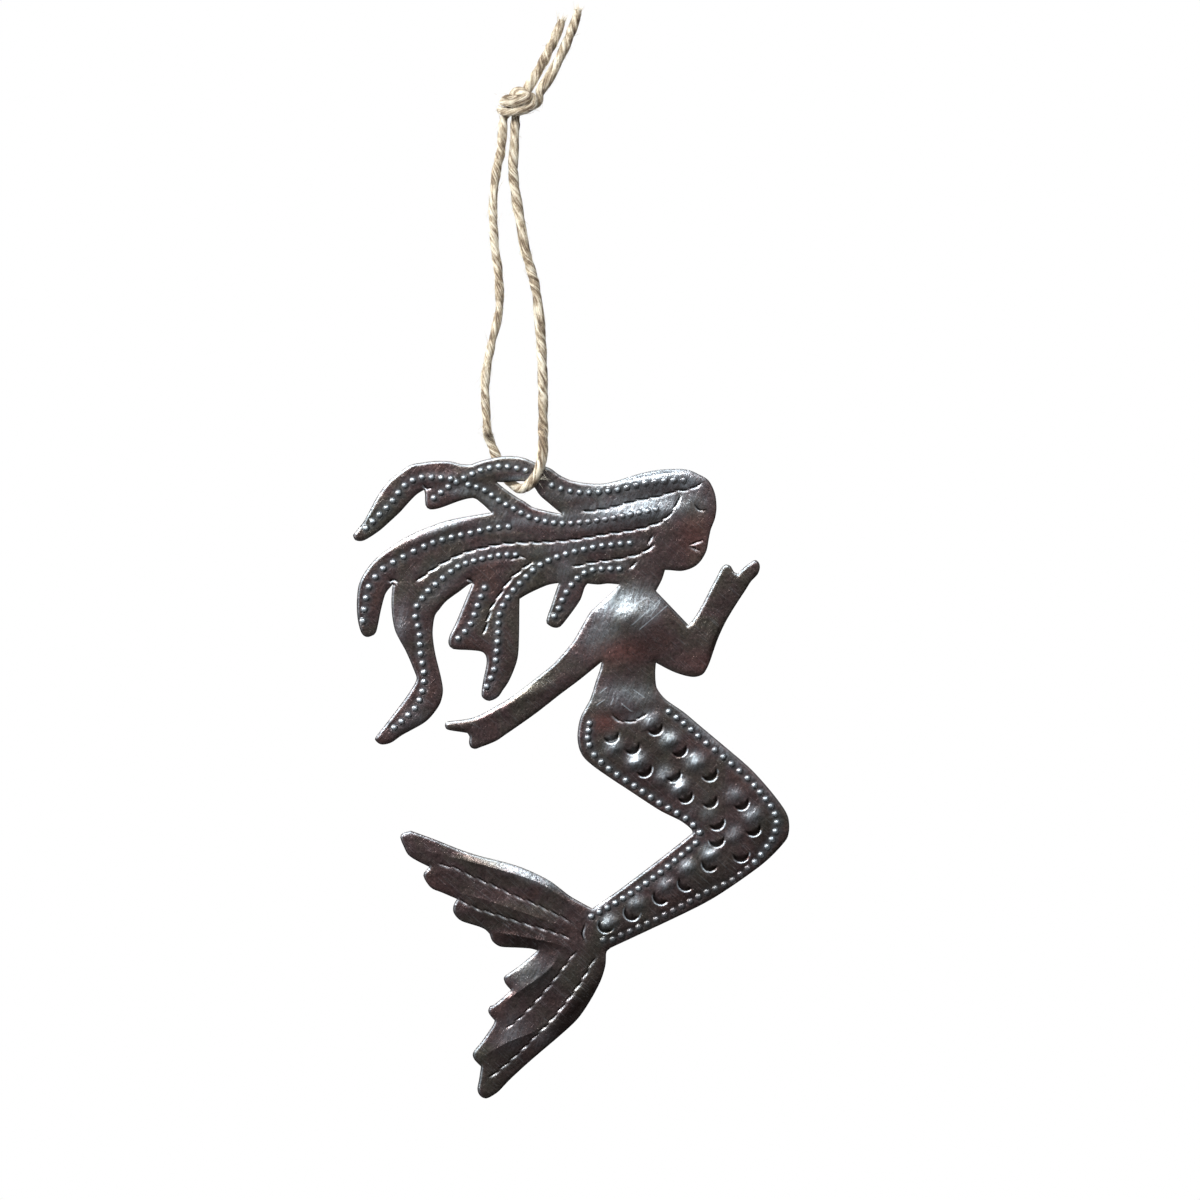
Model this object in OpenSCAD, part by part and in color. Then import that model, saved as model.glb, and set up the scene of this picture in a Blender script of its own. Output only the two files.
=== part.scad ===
// Hanging ornament: a mermaid cut and embossed from one sheet of steel, on a knotted loop of twine.
// The front faces -Y. The origin is the crotch of the loop, where a nail or hook carries it.

/* [Sheet] */
// Width of the sheet that the figure is drawn on
sheet_w = 88; // [84:1:120]
// Height of the sheet that the figure is drawn on
sheet_h = 130; // [124:1:180]
// Thickness of the steel
sheet_t = 1; // [0.9:0.05:1.15]

/* [Embossing] */
// Radius of the round punch that raises a dot
dot_r = 0.72; // [0.6:0.02:0.78]
// Height of a dot above the front
dot_h = 0.48; // [0.3:0.02:0.56]
// Radius of the dimple behind each dot
dimple_r = 0.5; // [0.3:0.05:0.6]
// Radius of the crescent mark under a fish scale
scale_r = 1.8; // [1.6:0.05:2]
// Height of a fish scale above the front
scale_h = 0.32; // [0.2:0.02:0.4]
// Angle that a crescent mark covers
scale_turn = 160; // [120:5:180]
// Width of the chisel that chases lines
line_w = 0.36; // [0.2:0.02:0.5]
// Depth of a chased line
line_h = 0.3; // [0.2:0.02:0.4]

/* [Twine] */
// Thickness of the twine
twine_d = 2.2; // [1.8:0.1:2.3]
// Gap between the pieces of twine where the loop folds
fold_gap = 0.3; // [0.2:0.05:0.6]

/* [Hidden] */
$fn = 32;

steel = [0.25, 0.21, 0.19];
jute = [0.76, 0.68, 0.54];

// Squares of the drawing grid across and up the sheet
grid_shares = [440, 650];
// The point of the grid where the twine crosses the hanging slot, and where the figure rocks
rock_share = [171, 611.5];
// Steps that a smooth line takes from each point to the next
smooth_steps = 2;
// How far cuts run past a face
over = 0.5;

// Height of the fold axis below the hook, and of the twine where it crosses the hanging slot
fold_z = -51.4;
rock_x = 3.4;
rock_z = -65.7;
// Share of the twine's radius that its rounded ends keep halfway round
round_share = 0.71;
// How far below the fold axis the bight's round ends are centred
bight_drop = twine_d + fold_gap;

// The outline on the drawing grid, clockwise. Each row is one smooth line from the end of the
// row before to the next corner.
outline_shares = [
    // Upper lock, from its tip over the top to the notch by the twine
    [[7, 570], [13.5, 578], [19.5, 589], [25, 599.5], [31, 609], [39, 619], [46, 625],
     [59.5, 634.5], [70, 637], [86, 639], [101, 638.5], [111, 636], [121, 635.5]],
    // Crown, forehead, nose, lips and chin
    [[129, 638.5], [140.5, 641.5], [153, 643.7], [165.5, 643.7], [176, 641.5], [186, 637],
     [200.5, 631.5], [208, 626], [220, 620], [236, 617], [254, 616.5], [271, 620.5],
     [288.5, 626], [308, 630], [329.5, 631], [340, 629.5], [348, 626], [357, 621],
     [362, 614], [365.5, 604], [366.5, 591], [364.5, 580], [361, 571], [358.7, 560.5],
     [357, 551], [354, 544], [349, 537], [342, 532], [331.5, 529], [321, 529.7], [315, 530]],
    // Throat
    [[314, 526.5], [311.5, 519.5], [306, 509]],
    // Shoulder to the crook of the raised arm
    [[338.5, 475]],
    // Inner side of the raised arm, up to the notch of the thumb
    [[346, 484.5], [355, 500.5], [361, 512.5], [367.5, 524.5], [371, 531.5], [374, 534.7],
     [377, 535.5], [381, 533.5], [384, 528], [388, 526.5]],
    // Fingers, outer side of the arm and the elbow, to the armpit
    [[393, 531.5], [400.5, 537.5], [405.5, 540], [409, 537], [409.8, 532], [407.5, 525.5],
     [401, 518.5], [395.6, 510], [389, 500], [376.7, 480], [367.4, 460], [360.5, 440],
     [356, 430], [351.5, 425], [343, 423], [331, 425.5], [319.5, 430], [306, 437.2]],
    // Waist, back of the tail and round its bend to the root of the lower fin
    [[305.3, 428], [305.8, 417], [308, 410], [316.5, 400], [333, 388.5], [352, 372.6],
     [380.5, 348.7], [401, 330.8], [420.5, 309.2], [435, 289.7], [439, 278], [438.5, 266],
     [434, 257.4], [419.5, 242], [401, 227.2], [367.5, 204.4], [340, 189.5], [300, 170.5],
     [262, 152.8]],
    // Lower fin, outer side and its tip
    [[257, 149], [256, 144], [255.5, 135], [251.8, 122], [246.7, 111], [240, 99], [230, 84],
     [219, 72.5], [200.3, 56.2], [180.3, 39.2], [159.7, 20.3], [150, 10], [143.5, 5],
     [136, 1.5], [130, 4.5], [127.4, 11], [129, 20], [131, 33.6]],
    // Lower fin, ends of its three rays
    [[125.4, 39.2], [122.8, 44], [124, 49], [131, 57.5], [138, 67.5], [143.3, 75.6],
     [144.6, 79.7]],
    [[140, 85], [138.2, 89.5], [140.3, 94], [143.5, 95], [151.5, 101.3], [161, 110]],
    [[156.5, 115], [154, 120], [155.5, 124.5], [170, 134.5], [187.4, 149.5]],
    // Upper fin, ends of its four rays
    [[180, 151.5], [166, 152.4], [152.8, 153], [147, 155], [142, 159.5], [139.6, 166]],
    [[135.4, 170.3], [128, 173.7], [114, 178], [107.5, 182], [103.3, 188.5], [103.8, 195.5],
     [107, 201]],
    [[91.3, 207.7], [82.5, 211.2], [77, 217], [73.3, 224.5], [75.4, 229], [79.5, 233]],
    [[65.6, 240], [58, 245.5], [54, 253], [50.3, 262.5], [53, 267], [61, 269.2]],
    // Upper fin, upper side
    [[85, 260.5], [110, 250.5], [130, 244], [150, 239], [173, 232], [200, 219], [220, 204],
     [242.4, 191.5]],
    // Inner side of the tail, below and above its bend, to the armpit
    [[269, 210], [300, 233.5], [322.5, 251], [342.5, 267]],
    [[341, 271], [330, 279.5], [310, 289.5], [280, 309], [250, 329], [233.5, 343],
     [228, 357], [228, 371], [231.5, 385], [239.7, 400], [245.4, 417.4], [250, 431],
     [251.5, 438]],
    // Lower side of the lowered arm, to the notch of the thumb
    [[230, 420.5], [210, 405.5], [185, 386], [155, 365], [145, 358.5], [131, 353],
     [125, 351], [120.5, 353], [119, 358], [119.5, 363.5], [117.3, 367]],
    // Fingers and upper side of the lowered arm, to the neck
    [[109.6, 368.2], [100, 369.7], [96, 371.5], [95, 375.5], [97.5, 378.5], [106, 379.5],
     [118.8, 381.3], [130, 385], [145, 393.3], [160, 402], [180, 417], [195, 429],
     [205.5, 438], [221.4, 456.4], [230, 470.3], [239.5, 487], [245, 492.5], [255, 501.5],
     [263, 508.7], [269.5, 515.5]],
    // Underside of the hair and its last lock
    [[258, 516.4], [248.6, 515.4], [237.5, 516.4]],
    [[234.5, 512], [231, 501.5], [225, 492], [216, 480], [210, 473.2], [204.3, 472.3],
     [198.5, 475], [196.3, 479.5], [200.7, 493], [205.2, 507], [208.8, 517]],
    [[198, 515], [186, 510], [176, 505], [169.6, 501]],
    // The pair of locks that end together
    [[169.4, 488], [169, 460], [167.2, 440], [159.5, 420], [153, 410], [148, 403],
     [139.5, 399], [133, 402], [131.5, 407], [133.3, 420], [136.5, 436], [135.5, 445],
     [130, 448.7], [116, 450], [103, 451], [98.5, 456.5], [99.9, 465], [105.5, 476.4],
     [115.8, 501], [122.5, 517]],
    // The longest lock
    [[118, 515], [109, 508.2], [96.5, 499], [89.4, 490.5], [84.7, 483.3], [82.7, 466],
     [85.3, 446.4], [88.3, 434], [91.4, 421], [93, 410.5], [92, 402.3], [89.4, 395],
     [84, 387], [78, 380.3], [70, 374.6], [52.4, 365], [44, 359], [38, 356.2],
     [31, 355.6], [26, 359], [26, 363.3], [38, 378.7], [53.5, 399.2], [60.6, 409.5],
     [66.3, 420], [64.7, 428], [55.5, 449.5], [45.3, 469], [41.7, 489.5], [41.7, 506.2],
     [43, 516]],
    // The outer lock
    [[40, 512.3], [35, 505], [30.4, 487.4], [26.3, 468.5], [21, 463.8], [15.5, 463.3],
     [11, 468], [7.8, 480.3], [6.8, 495], [7.8, 510.3], [10.4, 519.5], [15.5, 528.7],
     [21.7, 537], [30, 545], [40, 552.3], [56.5, 563], [77, 572.3], [97.6, 579.5],
     [120, 584], [141.5, 587.5]],
    // The short lock, and the underside of the upper one back to its tip
    [[135.5, 593.3], [129.4, 598.5], [123, 602], [111, 599.5], [99.6, 595.4],
     [89.4, 591.8], [80, 590.5], [75.5, 595], [75, 605.6], [74, 610]],
    [[66.8, 605.6], [58.6, 597.4], [50.4, 588.2], [40, 578.5], [30, 569.7],
     [19.6, 562.6], [12, 559], [5, 560], [3, 565]],
];

// The slot that the twine hangs it by, written the same way
slot_shares = [
    [[158, 619.5], [170, 620.5], [180, 619], [193, 605.6], [200.5, 601.5], [206.5, 594.4],
     [212.5, 588]],
    [[202.4, 587.7], [191, 589.2], [179, 593.3], [172.7, 599.5], [165, 604],
     [158, 610.5], [150, 616]],
];

// Rows of dots: how many, then the points that the row runs through
dot_row_shares = [
    // Two rows of the crown, on either side of the twine, and one from lock to face
    [12, [[84, 602], [98.6, 613], [116, 623], [132.4, 630.3], [151, 633.8], [167, 631.8],
          [176, 629.5]]],
    [15, [[202, 614.6], [218.6, 609.2], [237.8, 607.7], [257.3, 608.7], [280, 612.8],
          [299.5, 617.5], [319.7, 619.5], [333.6, 619.5]]],
    [12, [[16, 572], [28.3, 584], [41.7, 597.4], [54, 613.8], [72.4, 623], [101, 621.4]]],
    [24, [[118.6, 615], [134, 610.3], [150, 599], [163.5, 591.8], [180, 583], [196.3, 578.5],
          [215, 576.6], [233, 578], [260, 581.5], [285.5, 587], [306, 591]]],
    // The outer lock, and its end where the dots are wider apart
    [10, [[158.8, 573.3], [140.6, 571.8], [122, 567.2], [102.7, 563], [83.7, 557.4],
          [74.5, 553.6]]],
    [9, [[64, 548.7], [42.7, 537.4], [32.4, 530.8], [24.7, 522], [18.6, 512], [16, 500.5],
         [13, 479]]],
    // The longest lock, in three stretches of different spacing
    [9, [[166, 545], [150.5, 545], [127, 540], [110, 534.4], [101.4, 528.4]]],
    [5, [[93.2, 521.8], [78, 508.7], [67, 494]]],
    [14, [[65.5, 483.3], [70, 466], [70.4, 448.5], [74, 430], [73.2, 411], [65.3, 392],
          [44.4, 372.6]]],
    // The pair of locks and the last lock
    [7, [[135, 512.3], [127.3, 493], [120, 474], [108.3, 461.8]]],
    [26, [[280, 557], [253, 554.4], [227, 549.2], [203, 541.5], [186, 532.3], [170.6, 517],
          [158.3, 503], [150, 486.4], [148.3, 466], [146.8, 447], [143.7, 428],
          [137, 413.6]]],
    [11, [[269.6, 531.3], [246, 530.8], [232, 525.6], [217.8, 510.3], [208.8, 491],
          [204.5, 484]]],
    // Back of the tail, in four stretches of different spacing
    [5, [[319, 388.4], [333, 377.7], [348.3, 364.2]]],
    [6, [[356.6, 357], [382.4, 335.7], [397.6, 321.9]]],
    [9, [[404.7, 314.8], [422, 293], [427.2, 277], [422.6, 261.6], [417.3, 253.4]]],
    [20, [[411.3, 245.4], [404.3, 237.2], [382.4, 219.3], [357.6, 208], [332, 194],
          [307.8, 181.2], [272.5, 165], [263.5, 160.5], [253.5, 160]]],
    // Inner side of the tail, above its bend in two stretches, and below it
    [4, [[239.8, 376.8], [238, 362], [239.7, 355.2]]],
    [14, [[244.5, 345.3], [260.2, 330.4], [284, 314.7], [311, 296.4], [337.7, 280.8],
          [350, 267.4]]],
    [15, [[346, 257], [323.6, 238], [300.7, 220], [280.5, 206.4], [257, 192], [241.5, 183.7]]],
];

// Fish scales: place on the grid, then the way that the mouth of the mark faces, in degrees
scale_shares = [
    [305, 373, 293], [261, 365, 290], [282, 353.5, 295], [329, 351, 297], [294, 331, 297],
    [323, 326, 297], [359.5, 327, 300], [335, 305, 295], [359.5, 300, 300], [391, 298, 297],
    [366.5, 278, 297], [403, 272, 297], [366.5, 261, 285], [391, 246, 275], [360, 236.5, 252],
    [336, 217, 230], [311, 203.5, 235], [282, 187.5, 237], [256, 175, 235],
];

// Chased lines: points that each runs through
line_shares = [
    // Fringe, hair line from brow to the longest lock, and two parting lines
    [[233, 588.5], [258, 592], [284, 599], [305, 604], [325, 608.7], [341, 611.3], [351, 617]],
    [[328.5, 602.6], [323, 590.3], [311, 579], [287, 571.3], [258, 566.7], [225, 561],
     [196, 558.5], [161, 557.4], [138.6, 554], [113, 547.2], [92.4, 537], [75, 525.6],
     [67, 519]],
    [[301, 562.6], [299, 554], [293, 548.2], [271, 542], [242.4, 538], [222.4, 533.3]],
    [[181, 538], [160.4, 521.5], [147, 502], [140, 490.5], [133.5, 466]],
    // Closed eye, and the two lips
    [[344.4, 594.4], [349, 590.5], [355, 590.3]],
    [[340.5, 555], [346, 558], [353, 560.5]],
    [[343, 551.5], [347, 552], [351, 551.5]],
    // Belt of the tail
    [[264, 383], [276, 377.5], [284, 377.5], [295, 384.6]],
    // Rays of the upper fin and the mark at its root
    [[71, 250], [100, 244], [140, 233], [180, 221], [200, 212]],
    [[89.7, 235.6], [106, 232], [123, 223.6], [146, 214], [164, 205], [184, 197],
     [202.5, 188], [220.7, 179]],
    [[110, 200], [128, 191.5], [146, 186], [176, 176.4], [198, 170], [220.7, 162.3]],
    [[143, 166], [170, 162.5], [195, 157], [212, 152]],
    [[234, 175], [232, 166], [236, 158]],
    // Rays of the lower fin
    [[224.8, 148.5], [212, 131.3], [196.7, 112], [181.4, 94.3], [168.7, 81.6], [156, 71.4]],
    [[244, 142], [235.6, 127], [227, 113.5], [214.6, 97], [199, 78], [186.5, 65.6],
     [171, 50], [154.6, 35], [139, 22.3]],
];

// Routes of the twine
front_leg_route = [
    [2.3, 0, 8.4], [2.0, 0, 2.0], [1.8, 0, -1.0], [2.0, 0, -4.4], [2.7, 0, -9.0],
    [3.4, 0, -13.0], [4.2, 0, -17.8], [6.0, 0, -24.2], [6.8, 0, -29.2], [7.4, 0, -36.0],
    [7.7, 0, -42.6], [7.8, 0, -47.2], [7.8, 0, fold_z],
];
rear_leg_route = [
    [-0.1, 0, 8.4], [-0.6, 0, 2.0], [-1.3, 0, -1.0], [-1.8, 0, -4.4], [-2.2, 0, -9.0],
    [-2.1, 0, -13.0], [-1.8, 0, -17.8], [-1.1, 0, -22.6], [-0.9, 0, -29.2],
    [-1.6, 0, -33.2], [-2.6, 0, -37.2], [-3.6, 0, -42.6], [-3.8, 0, -47.0],
    [-3.5, 0, fold_z],
];
bight_route = [
    [7.8, 0, fold_z - bight_drop], [7.8, -1.0, -54.9], [7.8, -1.9, -56.2], [7.8, -2.2, -57.8],
    [7.6, -2.3, -59.4], [7.3, -2.4, -61.0], [6.6, -2.4, -62.8], [5.6, -2.2, -64.4],
    [4.7, -1.6, -65.3], [4.0, -0.8, -65.7],
    [rock_x, 0, rock_z],
    [2.8, 0.8, -65.6], [2.0, 1.6, -65.1], [1.0, 2.1, -64.2], [0.0, 2.2, -62.6],
    [-0.9, 2.2, -60.8], [-1.7, 2.1, -59.0], [-2.3, 2.1, -57.4], [-2.8, 1.9, -56.2],
    [-3.2, 1.0, -54.9], [-3.4, 0, fold_z - bight_drop],
];
front_tail_route = [
    [6.2, 0, 11.4], [7.2, 0, 13.8], [8.8, 0, 16.0], [10.2, 0, 18.6], [11.8, 0, 21.8],
    [13.2, 0, 25.0], [14.3, 0, 28.0], [14.8, 0, 30.0],
];
rear_tail_route = [
    [3.8, 0.4, 12.0], [5.0, 0.3, 14.8], [6.6, 0.2, 17.4], [8.0, 0.1, 20.0], [9.4, 0, 22.8],
    [10.8, 0, 25.8], [11.6, 0, 28.0],
];
// The two strands through the knot, from leg to tail
front_knot_route = [
    [2.3, 0, 8.0], [2.6, 1.5, 10.2], [3.4, 1.6, 12.4], [5.4, 0.6, 13.0], [6.2, -1.0, 11.2],
    [4.4, -2.4, 9.9], [1.4, -2.3, 9.3], [-0.5, -0.8, 9.7], [0.6, 1.9, 10.3], [3.4, 1.4, 10.6],
    [6.2, 0, 11.8],
];
rear_knot_route = [
    [-0.1, 0, 8.0], [0.4, 1.5, 10.4], [1.2, 1.6, 12.2], [3.2, 0.4, 13.4], [5.4, -1.0, 12.6],
    [3.8, -2.3, 11.8], [1.2, -2.1, 11.2], [-0.4, -0.4, 11.6], [1.0, 1.6, 12.2],
    [3.0, 0.8, 12.4], [4.4, 0.4, 13.2],
];

// Place of a grid point in the plane of the figure, measured from where it rocks
function place(share) = [
    (share.x - rock_share.x) / grid_shares.x * sheet_w,
    (share.y - rock_share.y) / grid_shares.y * sheet_h,
];

// A point of a curve that passes through b and c, with a and d as their neighbours
function curve_point(a, b, c, d, t) =
    (2 * b + (c - a) * t + (2 * a - 5 * b + 4 * c - d) * t * t
     + (3 * b - 3 * c + d - a) * t * t * t) / 2;

// Smooth line through points, without its first point
function smooth(points) = let (last = len(points) - 1) [
    for (i = [0 : last - 1], step = [1 : smooth_steps])
        curve_point(points[max(i - 1, 0)], points[i], points[i + 1],
                    points[min(i + 2, last)], step / smooth_steps)
];

// Closed outline made of smooth rows, each starting where the row before ends
function outline(rows) = [
    for (i = [0 : len(rows) - 1])
        let (before = rows[(i + len(rows) - 1) % len(rows)], start = before[len(before) - 1])
            each smooth(concat([place(start)], [for (share = rows[i]) place(share)]))
];

function path(shares) = let (points = [for (share = shares) place(share)])
    concat([points[0]], smooth(points));

// Distance along a path to each of its points
function distances(points) = [
    for (i = 0, sum = 0; i < len(points);
         i = i + 1, sum = sum + (i < len(points) ? norm(points[i] - points[i - 1]) : 0)) sum
];

// Point that lies a distance along a path
function along(points, at, distance) =
    let (i = min([for (k = [1 : len(points) - 1]) if (at[k] >= distance || k == len(points) - 1) k]),
         part = (distance - at[i - 1]) / (at[i] - at[i - 1]))
        points[i - 1] + (points[i] - points[i - 1]) * part;

// Places of the dots of one row, spread evenly
function row_dots(count, shares) =
    let (points = path(shares), at = distances(points), whole = at[len(at) - 1])
        [for (i = [0 : count - 1]) along(points, at, whole * i / (count - 1))];

dots = [for (row = dot_row_shares) each row_dots(row[0], row[1])];

// Narrow strip along a path, pointed at both ends
function strip(points) =
    let (last = len(points) - 1,
         side = [for (i = [1 : last - 1])
             let (way = points[i + 1] - points[i - 1], reach = line_w / 2 / norm(way))
                 [-way.y * reach, way.x * reach]])
        concat([points[0]], [for (i = [1 : last - 1]) points[i] + side[i - 1]],
               [points[last]], [for (i = [last - 1 : -1 : 1]) points[i] - side[i - 1]]);

function unit(v) = v / norm(v);

// Direction of a route at each of its points
function headings(route) = let (last = len(route) - 1) [
    for (i = [0 : last]) unit(route[min(i + 1, last)] - route[max(i - 1, 0)])
];

// Side direction of each ring, turned as little as possible from the ring before
function ring_sides(ways) = [
    for (i = 0, side = unit(cross(ways[0], [0, 1, 0])); i < len(ways);
         i = i + 1, side = i < len(ways) ? unit(side - ways[i] * (side * ways[i])) : side) side
];

// Route with a round end added behind its first and past its last point, as [point, radius]
function rounded(route) =
    let (ways = headings(route), last = len(route) - 1, r = twine_d / 2)
        concat(
            [[route[0] - ways[0] * r, r * (1 - round_share)],
             [route[0] - ways[0] * r * round_share, r * round_share]],
            [for (point = route) [point, r]],
            [[route[last] + ways[last] * r * round_share, r * round_share],
             [route[last] + ways[last] * r, r * (1 - round_share)]]);

// Length of twine of eight sides along a route
module twine(route) {
    sides = 8;
    rings = rounded(route);
    ways = headings([for (ring = rings) ring[0]]);
    across = ring_sides(ways);
    points = [
        for (i = [0 : len(rings) - 1], k = [0 : sides - 1])
            let (turn = 360 * k / sides, up = cross(ways[i], across[i]))
                rings[i][0] + rings[i][1] * (cos(turn) * across[i] + sin(turn) * up)
    ];
    last = (len(rings) - 1) * sides;
    walls = [
        for (i = [0 : len(rings) - 2], k = [0 : sides - 1])
            let (a = i * sides + k, b = i * sides + (k + 1) % sides)
                each [[a, a + sides, b], [b, a + sides, b + sides]]
    ];
    ends = [
        for (k = [1 : sides - 2])
            each [[0, k, k + 1], [last, last + k + 1, last + k]]
    ];
    polyhedron(points, concat(walls, ends));
}

// Everything that is drawn flat on the sheet and stands upright, facing the front
module upright() {
    translate([rock_x, 0, rock_z])
        rotate([90, 0, 0])
            children();
}

// Cap of a large ball that stands scale_h above the front and fits inside its crescent mark
module scale_bump() {
    cap_r = scale_r - line_w;
    ball_r = (cap_r * cap_r + scale_h * scale_h) / (2 * scale_h);
    intersection() {
        translate([0, 0, sheet_t / 2 + scale_h - ball_r])
            sphere(r = ball_r, $fn = 96);
        translate([0, 0, sheet_t / 4])
            cylinder(r = cap_r + over, h = sheet_t);
    }
}

module scale_mark(facing) {
    rotate([0, 0, facing - scale_turn / 2])
        translate([0, 0, sheet_t / 2 - line_h])
            rotate_extrude(angle = scale_turn, $fn = 96)
                translate([scale_r - line_w / 2, 0])
                    square([line_w, line_h + over]);
}

module mermaid_plate() {
    color(steel) upright() difference() {
        union() {
            translate([0, 0, -sheet_t / 2])
                linear_extrude(sheet_t)
                    difference() {
                        polygon(outline(outline_shares));
                        polygon(outline(slot_shares));
                    }
            for (dot = dots)
                translate([dot.x, dot.y, sheet_t / 2 + dot_h - dot_r])
                    sphere(r = dot_r);
            for (share = scale_shares)
                translate(concat(place(share), 0))
                    scale_bump();
        }
        for (dot = dots)
            translate([dot.x, dot.y, -sheet_t / 2])
                sphere(r = dimple_r);
        for (share = scale_shares)
            translate(concat(place(share), 0))
                scale_mark(share[2]);
        for (shares = line_shares)
            translate([0, 0, sheet_t / 2 - line_h])
                linear_extrude(line_h + over)
                    polygon(strip(path(shares)));
    }
}

module twine_bight() {
    color(jute) twine(bight_route);
}

module twine_front_leg() {
    color(jute) twine(front_leg_route);
}

module twine_rear_leg() {
    color(jute) twine(rear_leg_route);
}

module twine_front_tail() {
    color(jute) twine(front_tail_route);
}

module twine_rear_tail() {
    color(jute) twine(rear_tail_route);
}

// One strand pulled tight through the knot
module tight_strand(route) {
    for (i = [0 : len(route) - 2])
        hull() {
            translate(route[i]) sphere(d = twine_d, $fn = 10);
            translate(route[i + 1]) sphere(d = twine_d, $fn = 10);
        }
}

module overhand_knot() {
    color(jute) union() {
        tight_strand(front_knot_route);
        tight_strand(rear_knot_route);
    }
}

mermaid_plate();
twine_bight();
twine_front_leg();
twine_rear_leg();
overhand_knot();
twine_front_tail();
twine_rear_tail();
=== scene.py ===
"""Looks of the hanging mermaid ornament: hammered lacquered steel on a knotted loop of jute twine."""
import math
import random

import bpy
import numpy as np
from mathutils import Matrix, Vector, noise
from mathutils.bvhtree import BVHTree
from mathutils.geometry import delaunay_2d_cdt


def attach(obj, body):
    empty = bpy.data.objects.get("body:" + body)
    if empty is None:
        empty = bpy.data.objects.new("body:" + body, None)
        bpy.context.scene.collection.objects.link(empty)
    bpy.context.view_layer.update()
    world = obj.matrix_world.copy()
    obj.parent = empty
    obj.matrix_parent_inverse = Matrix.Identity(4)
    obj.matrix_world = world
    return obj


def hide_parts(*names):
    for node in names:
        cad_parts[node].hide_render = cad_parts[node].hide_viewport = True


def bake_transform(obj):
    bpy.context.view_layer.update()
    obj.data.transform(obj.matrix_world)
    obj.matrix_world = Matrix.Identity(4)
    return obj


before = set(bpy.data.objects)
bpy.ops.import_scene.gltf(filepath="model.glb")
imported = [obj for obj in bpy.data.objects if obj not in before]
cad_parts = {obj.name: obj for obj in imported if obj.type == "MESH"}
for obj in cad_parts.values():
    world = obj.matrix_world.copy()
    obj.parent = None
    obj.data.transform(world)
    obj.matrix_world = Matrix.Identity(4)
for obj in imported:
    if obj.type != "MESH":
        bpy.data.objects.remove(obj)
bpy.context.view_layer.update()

MM = 0.001

# Photograph: millimetres in a pixel, and the pixel of the row frame's origin
PX_MM = 0.2
ORIGIN_PX = (504, 160)
PHOTO_CENTRE_PX = (600, 600)
PHOTO_SIDE_PX = 1200

# Camera, in metres
CAMERA_BACK = 1.6
CAMERA_SENSOR_MM = 36.0
CAMERA_CLIP = (0.05, 30)

# Studio, in metres and watts
BACKDROP_Y = 2.4
BACKDROP_SIZE = 9.0
FLOOR_Z = -1.1
FLOOR_FRONT_Y = -0.05
PAPER = (0.85, 0.85, 0.85, 1)
WORLD_STRENGTH = 1.0
WORLD_LIGHTER_WAY = (-0.6, 0.0, 0.8)
WORLD_STEEPNESS = 1.1
WORLD_UPPER_LEFT = (0.38, 0.41, 0.46)
WORLD_LOWER_RIGHT = (0.03, 0.027, 0.024)
WORLD_SEEN = (1.0, 1.0, 1.0)
AIM = (0.02, 0.0, -0.09)
# Each lamp: place, side, power, colour
LAMPS = {
    "key": ((-0.42, -0.8, 0.44), 0.24, 9.5, (0.95, 0.98, 1.0)),
    "top": ((0.08, -0.76, 0.5), 0.14, 2.4, (0.97, 0.99, 1.0)),
    "side": ((-1.0, -0.16, 0.3), 0.5, 9.0, (1.0, 0.99, 0.97)),
    "fill": ((0.7, -1.3, 0.2), 0.8, 0.7, (1.0, 0.98, 0.95)),
    "back": ((-0.5, 0.9, 0.45), 0.3, 5.0, (1.0, 0.99, 0.97)),
}

# Colours of the lacquer, from its dark patches to its light ones, of what lies in or under it, of the
# painted shade in hollows, grooves and round the dots, and of worn steel, which also paints highlights
LACQUER_TINTS = [
    (0.34, (0.112, 0.097, 0.075)), (0.45, (0.124, 0.094, 0.079)),
    (0.55, (0.13, 0.083, 0.08)), (0.66, (0.15, 0.088, 0.077)),
]
RUST_TINT = (0.26, 0.115, 0.1)
SOOT_TINT = (0.022, 0.014, 0.011)
PAINTED_SHADE_TINT = (0.006, 0.004, 0.003)
STEEL_AND_HIGHLIGHT_TINT = (0.58, 0.655, 0.7)

# Colours of the jute, from its dark fibres to its light ones, and of the painted shade in the valleys
# between its plies and in the knot
JUTE_TINTS = [
    (0.42, (0.13, 0.085, 0.05)), (0.465, (0.33, 0.24, 0.15)),
    (0.515, (0.6, 0.49, 0.34)), (0.575, (0.92, 0.84, 0.68)),
]
JUTE_PAINTED_SHADE_TINT = (0.14, 0.09, 0.055)

# Twine's route from part.scad, in metres
FRONT_TAIL = [
    (0.0062, 0, 0.0114), (0.0072, 0, 0.0138), (0.0088, 0, 0.016), (0.0102, 0, 0.0186),
    (0.0118, 0, 0.0218), (0.0132, 0, 0.025), (0.0143, 0, 0.028), (0.0148, 0, 0.03),
]
REAR_TAIL = [
    (0.0038, 0.0004, 0.012), (0.005, 0.0003, 0.0148), (0.0066, 0.0002, 0.0174),
    (0.008, 0.0001, 0.02), (0.0094, 0, 0.0228), (0.0108, 0, 0.0258), (0.0116, 0, 0.028),
]
FRONT_KNOT = [
    (0.0023, 0, 0.008), (0.0026, 0.0015, 0.0102), (0.0034, 0.0016, 0.0124),
    (0.0054, 0.0006, 0.013), (0.0062, -0.001, 0.0112), (0.0044, -0.0024, 0.0099),
    (0.0014, -0.0023, 0.0093), (-0.0005, -0.0008, 0.0097), (0.0006, 0.0019, 0.0103),
    (0.0034, 0.0014, 0.0106), (0.0062, 0, 0.0118),
]
REAR_KNOT = [
    (-0.0001, 0, 0.008), (0.0004, 0.0015, 0.0104), (0.0012, 0.0016, 0.0122),
    (0.0032, 0.0004, 0.0134), (0.0054, -0.001, 0.0126), (0.0038, -0.0023, 0.0118),
    (0.0012, -0.0021, 0.0112), (-0.0004, -0.0004, 0.0116), (0.001, 0.0016, 0.0122),
    (0.003, 0.0008, 0.0124), (0.0044, 0.0004, 0.0132),
]
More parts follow.
